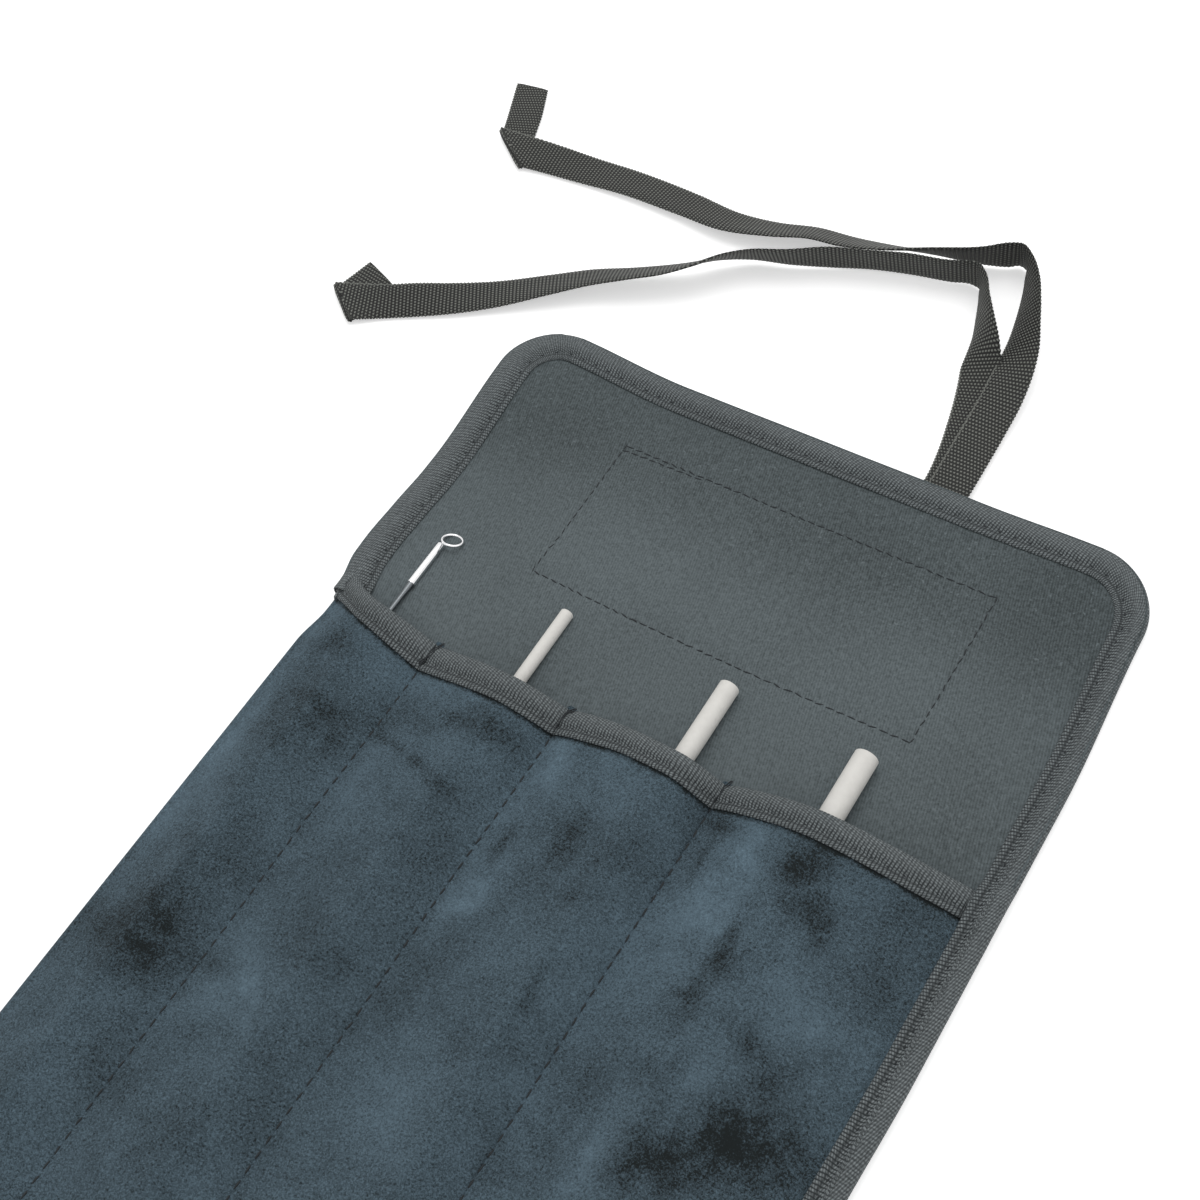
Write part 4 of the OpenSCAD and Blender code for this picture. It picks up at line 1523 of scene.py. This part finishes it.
UPPER_TIE = Tie(
    "webbing_upper",
    "tie_upper",
    0.32,
    (
        (37.5, 155, 2.1, 0, 0, 1), (37.5, 160, 2.1, 0, 0, 1), (37.3, 172, 2.2, 0, -1, 1),
        (37.1, 184, 2.6, 1, -1, 1), (37, 194.5, 3.9, 4, 2, 1), (36.2, 204, 5.3, 7, 13, 1),
        (34.8, 212, 5.6, 11, 28, 1), (32.2, 221, 5.6, 15, 46, 1), (29.6, 229, 6.1, 19, 57, 1),
        (26.5, 237, 6.6, 25, 68, 1), (23.3, 243, 6.8, 33, 81, 1), (20, 247.7, 6.8, 54, 98, 1),
        (18.4, 248.2, 6.8, 93, 100, 1), (14.8, 246.6, 6.8, 108, 98, 1), (7.9, 243.2, 6.7, 110, 108, 1),
        (-7.4, 238, 7, 107, 125, 1), (-22.6, 232.9, 7.2, 104, 142, 1), (-34.8, 231.9, 5.3, 93, 149, 1),
        (-47, 231.5, 4.4, 98, 151, 1), (-60, 228.2, 3.7, 101, 155, 1), (-75.7, 226.4, 2.5, 91, 164, 1),
        (-93.2, 228.1, 1.6, 84, 171, 1), (-117.4, 229.2, 1.2, 90, 175, 1), (-133.6, 228.6, 0.9, 92, 180, 1),
        (-150, 227.4, 1.7, 97, 188, 1), (-165.3, 226.4, 2.1, 143, 185, 1.65),
        (-165.9, 225.6, 1.4, 143, 182, 1.65), (-165.3, 226.4, 0.7, 143, 180, 1.65),
        (-169.2, 238.5, 0.7, 190, 180, 1), (-176.8, 256.9, 0.7, 186, 180, 1),
    ),
)
LOWER_TIE = Tie(
    "webbing_lower",
    "tie_lower",
    0.317,
    (
        (35.5, 155, 0.75, 0, 0, 1), (35.5, 160, 0.75, 0, 0, 1), (34.3, 171, 0.75, 5, 0, 1),
        (32.1, 182, 0.8, 10, 0, 1), (29.8, 191.5, 1, 14, 2, 1), (27.6, 199, 1.4, 17, 6, 1),
        (25.4, 205, 2.7, 20, 18, 1), (23.4, 210, 4.7, 22, 40, 1), (20.4, 216.5, 6.2, 25, 61, 1),
        (16.9, 223.4, 6.7, 27, 73, 1), (13.1, 231, 6.9, 36, 83, 1), (10.4, 234.5, 6.9, 60, 95, 1),
        (7.9, 234.7, 6.9, 91, 99, 1), (1, 232.7, 6.8, 102, 102, 1), (-11.5, 230.2, 6.8, 103, 103, 1),
        (-24, 226.5, 6.8, 108, 106, 1), (-36, 222.1, 6.9, 112, 104, 1), (-48, 216.7, 6.9, 112, 112, 1),
        (-60.4, 212.1, 7, 116, 120, 1), (-67.5, 206.9, 7.7, 128, 127, 1), (-74.8, 199.8, 7.8, 128, 138, 1),
        (-82, 195.1, 6.7, 121, 146, 1), (-92, 189.5, 5.8, 118, 150, 1), (-103.8, 183.5, 4.5, 119, 157, 1),
        (-114.5, 176.4, 3.4, 124, 163, 1), (-131.7, 164.8, 1.8, 122, 176, 1),
        (-143.5, 157.3, 2, 120, 186, 1), (-153.7, 151.6, 2.3, 119, 194, 1), (-162.2, 147, 2.3, 120, 195, 1),
        (-176.5, 140.5, 2.4, 143, 184, 1.4), (-177.2, 139.7, 1.5, 143, 182, 1.4),
        (-176.5, 140.5, 0.8, 143, 180, 1.4), (-173.5, 157.5, 0.8, 159, 180, 1.1),
    ),
)


# ---- tools ----


@dataclass
class Tools:
    """The three plain rods and the wire-loop tool."""

    shop: Workshop
    axis_x: float = -85.4
    axis_z: float = 6.25
    tip_y: float = 71.6
    foot_y: float = -124.0
    ferrule_r: float = 1.28
    ferrule_l: float = 16.3
    neck_l: float = 5.0
    shank_r: float = 0.75
    loop_r: float = 3.15
    wire_r: float = 0.42

    def rods(self) -> None:
        """Gives the three rods their finish."""
        for name in ("rod_small", "rod_medium", "rod_large"):
            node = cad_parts[name]
            for slot in node.material_slots:
                slot.material = self.shop.rod

    def turned(self, name: str, profile: Sequence[tuple[float, float]], material: Finish) -> Piece:
        """Turns a round piece on the loop tool's axis.

        Args:
            name: the piece's name.
            profile: Y and radius of each ring.
            material: its finish.

        Returns:
            The piece.
        """
        line = np.array([(self.axis_x, y, self.axis_z) for y, _ in profile])
        points, faces = tube(line, np.array([r for _, r in profile]), 32)
        return new_object(name, points, faces, material, 35)

    def loop_tool(self) -> None:
        """Makes the shank, the plated ferrule with its neck, and the wire loop."""
        low = self.tip_y - self.ferrule_l
        straight = [(self.foot_y, 0.6), (self.foot_y + 0.4, self.shank_r), (low - self.neck_l, self.shank_r)]
        neck = [(low - 0.6, 1.05), (low + 0.3, 1.1)]
        shank = self.turned("steel_shank", straight + neck, self.shop.steel)
        ferrule = self.turned(
            "plated_ferrule",
            [
                (low, 0.8),
                (low + 0.1, self.ferrule_r),
                (self.tip_y - 0.8, self.ferrule_r),
                (self.tip_y - 0.2, 0.9),
                (self.tip_y, 0.4),
            ],
            self.shop.chrome,
        )
        turn = np.linspace(0, 2 * math.pi, 72, endpoint=False)
        tilt = math.radians(-24)
        ring = np.stack(
            [
                self.axis_x + 2.4 + self.loop_r * np.cos(turn),
                self.tip_y + 2.2 + self.loop_r * 0.93 * np.sin(turn) * math.cos(tilt),
                self.axis_z + 0.25 + self.loop_r * np.sin(turn) * math.sin(tilt),
            ],
            -1,
        )
        loop = new_object("wire_loop", *tube(ring, self.wire_r, 12, closed=True), self.shop.chrome, 60)
        pieces = (
            (shank, "loop_shank", "bare_steel"),
            (ferrule, "loop_ferrule", "plated_steel"),
            (loop, "loop_wire", "plated_steel"),
        )
        for piece, node, slot in pieces:
            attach(piece, "loop_tool")
            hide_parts(node)

    def build(self) -> None:
        """Builds every tool."""
        self.rods()
        self.loop_tool()
        LOG.info("tools")


# ---- the studio ----


@dataclass
class Studio:
    """The camera, the lamp, the white floor and the room.

    camera_at is in metres; right, down and forward are the camera's own directions.
    """

    camera_at: tuple[float, float, float] = (0.17174, -0.1335, 0.43139)
    right: tuple[float, float, float] = (0.83610, 0.53078, -0.13860)
    down: tuple[float, float, float] = (0.38099, -0.74362, -0.54944)
    forward: tuple[float, float, float] = (-0.39469, 0.40658, -0.82396)
    lens: float = 53.72
    room_light: float = 0.62
    lamp_watts: float = 15.0
    floor_glow: float = 0.46
    floor_side: float = 6000.0
    # The floor's height, just under the lowest cloth when the case lies open.
    floor_z: float = -0.4

    def camera(self) -> None:
        """Places the camera."""
        data = bpy.data.cameras.new("studio_camera")
        data.lens, data.sensor_width, data.clip_start, data.clip_end = self.lens, 36.0, 0.01, 50.0
        made = linked("studio_camera", data)
        columns = (self.right, [-c for c in self.down], [-c for c in self.forward])
        turn = Matrix([[columns[c][r] for c in range(3)] for r in range(3)]).to_4x4()
        made.matrix_world = Matrix.Translation(self.camera_at) @ turn
        bpy.context.scene.camera = made

    def lamp(self, name: str, place: tuple[float, float, float], size: float, watts: float) -> None:
        """Hangs a square soft lamp that faces the case.

        Args:
            name: its name.
            place: where it hangs, in metres.
            size: its side, in metres.
            watts: its power.
        """
        data = bpy.data.lights.new(name, "AREA")
        data.shape, data.size, data.energy = "SQUARE", size, watts
        made = linked(name, data)
        made.location = place
        made.rotation_euler = (-Vector(place)).to_track_quat("-Z", "Y").to_euler()

    def looked_at(self, tree: Tree) -> Node:
        """Adds what is 1 where the camera, a mirror or glass looks, and 0 for the light that falls."""
        rays = add(tree, "ShaderNodeLightPath").outputs
        seen = maths(tree, "ADD", rays["Is Camera Ray"], rays["Is Glossy Ray"])
        return maths(tree, "ADD", seen, rays["Is Transmission Ray"], clamp=True)

    def floor(self) -> None:
        """Lays the white floor. Its glow lifts it to white for the camera and mirrors; it keeps shadows."""
        side, low = self.floor_side, self.floor_z
        corners = np.array([(-side, -side, low), (side, -side, low), (side, side, low), (-side, side, low)])
        material = bpy.data.materials.new("white_floor")
        plane = new_object("floor", corners, [(0, 1, 2, 3)], material)
        tree = cleared(material)
        paint = add(tree, "ShaderNodeBsdfDiffuse", (0.92, 0.92, 0.92, 1.0))
        glow = maths(tree, "MULTIPLY", self.looked_at(tree), self.floor_glow)
        white = add(tree, "ShaderNodeEmission", (1.0, 1.0, 1.0, 1.0), glow)
        both = add(tree, "ShaderNodeAddShader", paint, white)
        add(tree, "ShaderNodeOutputMaterial", both)

    def room(self) -> None:
        """Fills the room with even light, white where the camera, a mirror or glass looks at it."""
        world = bpy.data.worlds.new("white_room")
        bpy.context.scene.world = world
        tree = cleared(world)
        level = ranged(tree, self.looked_at(tree), 0.0, 1.0, self.room_light, 1.0)
        light = add(tree, "ShaderNodeBackground", (1.0, 1.0, 1.0, 1.0), level)
        add(tree, "ShaderNodeOutputWorld", light)

    def build(self) -> None:
        """Builds the lamp, the floor and the room."""
        bpy.context.scene.view_settings.view_transform = "Standard"
        self.lamp("key_lamp", (-0.15, 0.9, 1.65), 1.6, self.lamp_watts)
        self.floor()
        self.room()
        LOG.info("studio")


def main() -> None:
    """Builds the object piece by piece, then the studio around it."""
    logging.basicConfig(level=logging.INFO, format="%(name)s: %(message)s")
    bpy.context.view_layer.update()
    studio = Studio()
    studio.camera()
    shop = Workshop(
        *(finish.build() for finish in (TWILL, BINDING, WEBBING, VELVET, FELT, THREAD, ROD, CHROME, STEEL)),
        stitches=stitch_tree(),
        ribs=rib_tree(),
    )
    for tie in (UPPER_TIE, LOWER_TIE):
        tie.build(shop)
        LOG.info("%s", tie.name)
    case = Case(shop)
    case.build()
    Bindings(shop, case).build()
    Threads(shop, case).build()
    Tools(shop).build()
    studio.build()


if __name__ == "__main__":
    main()
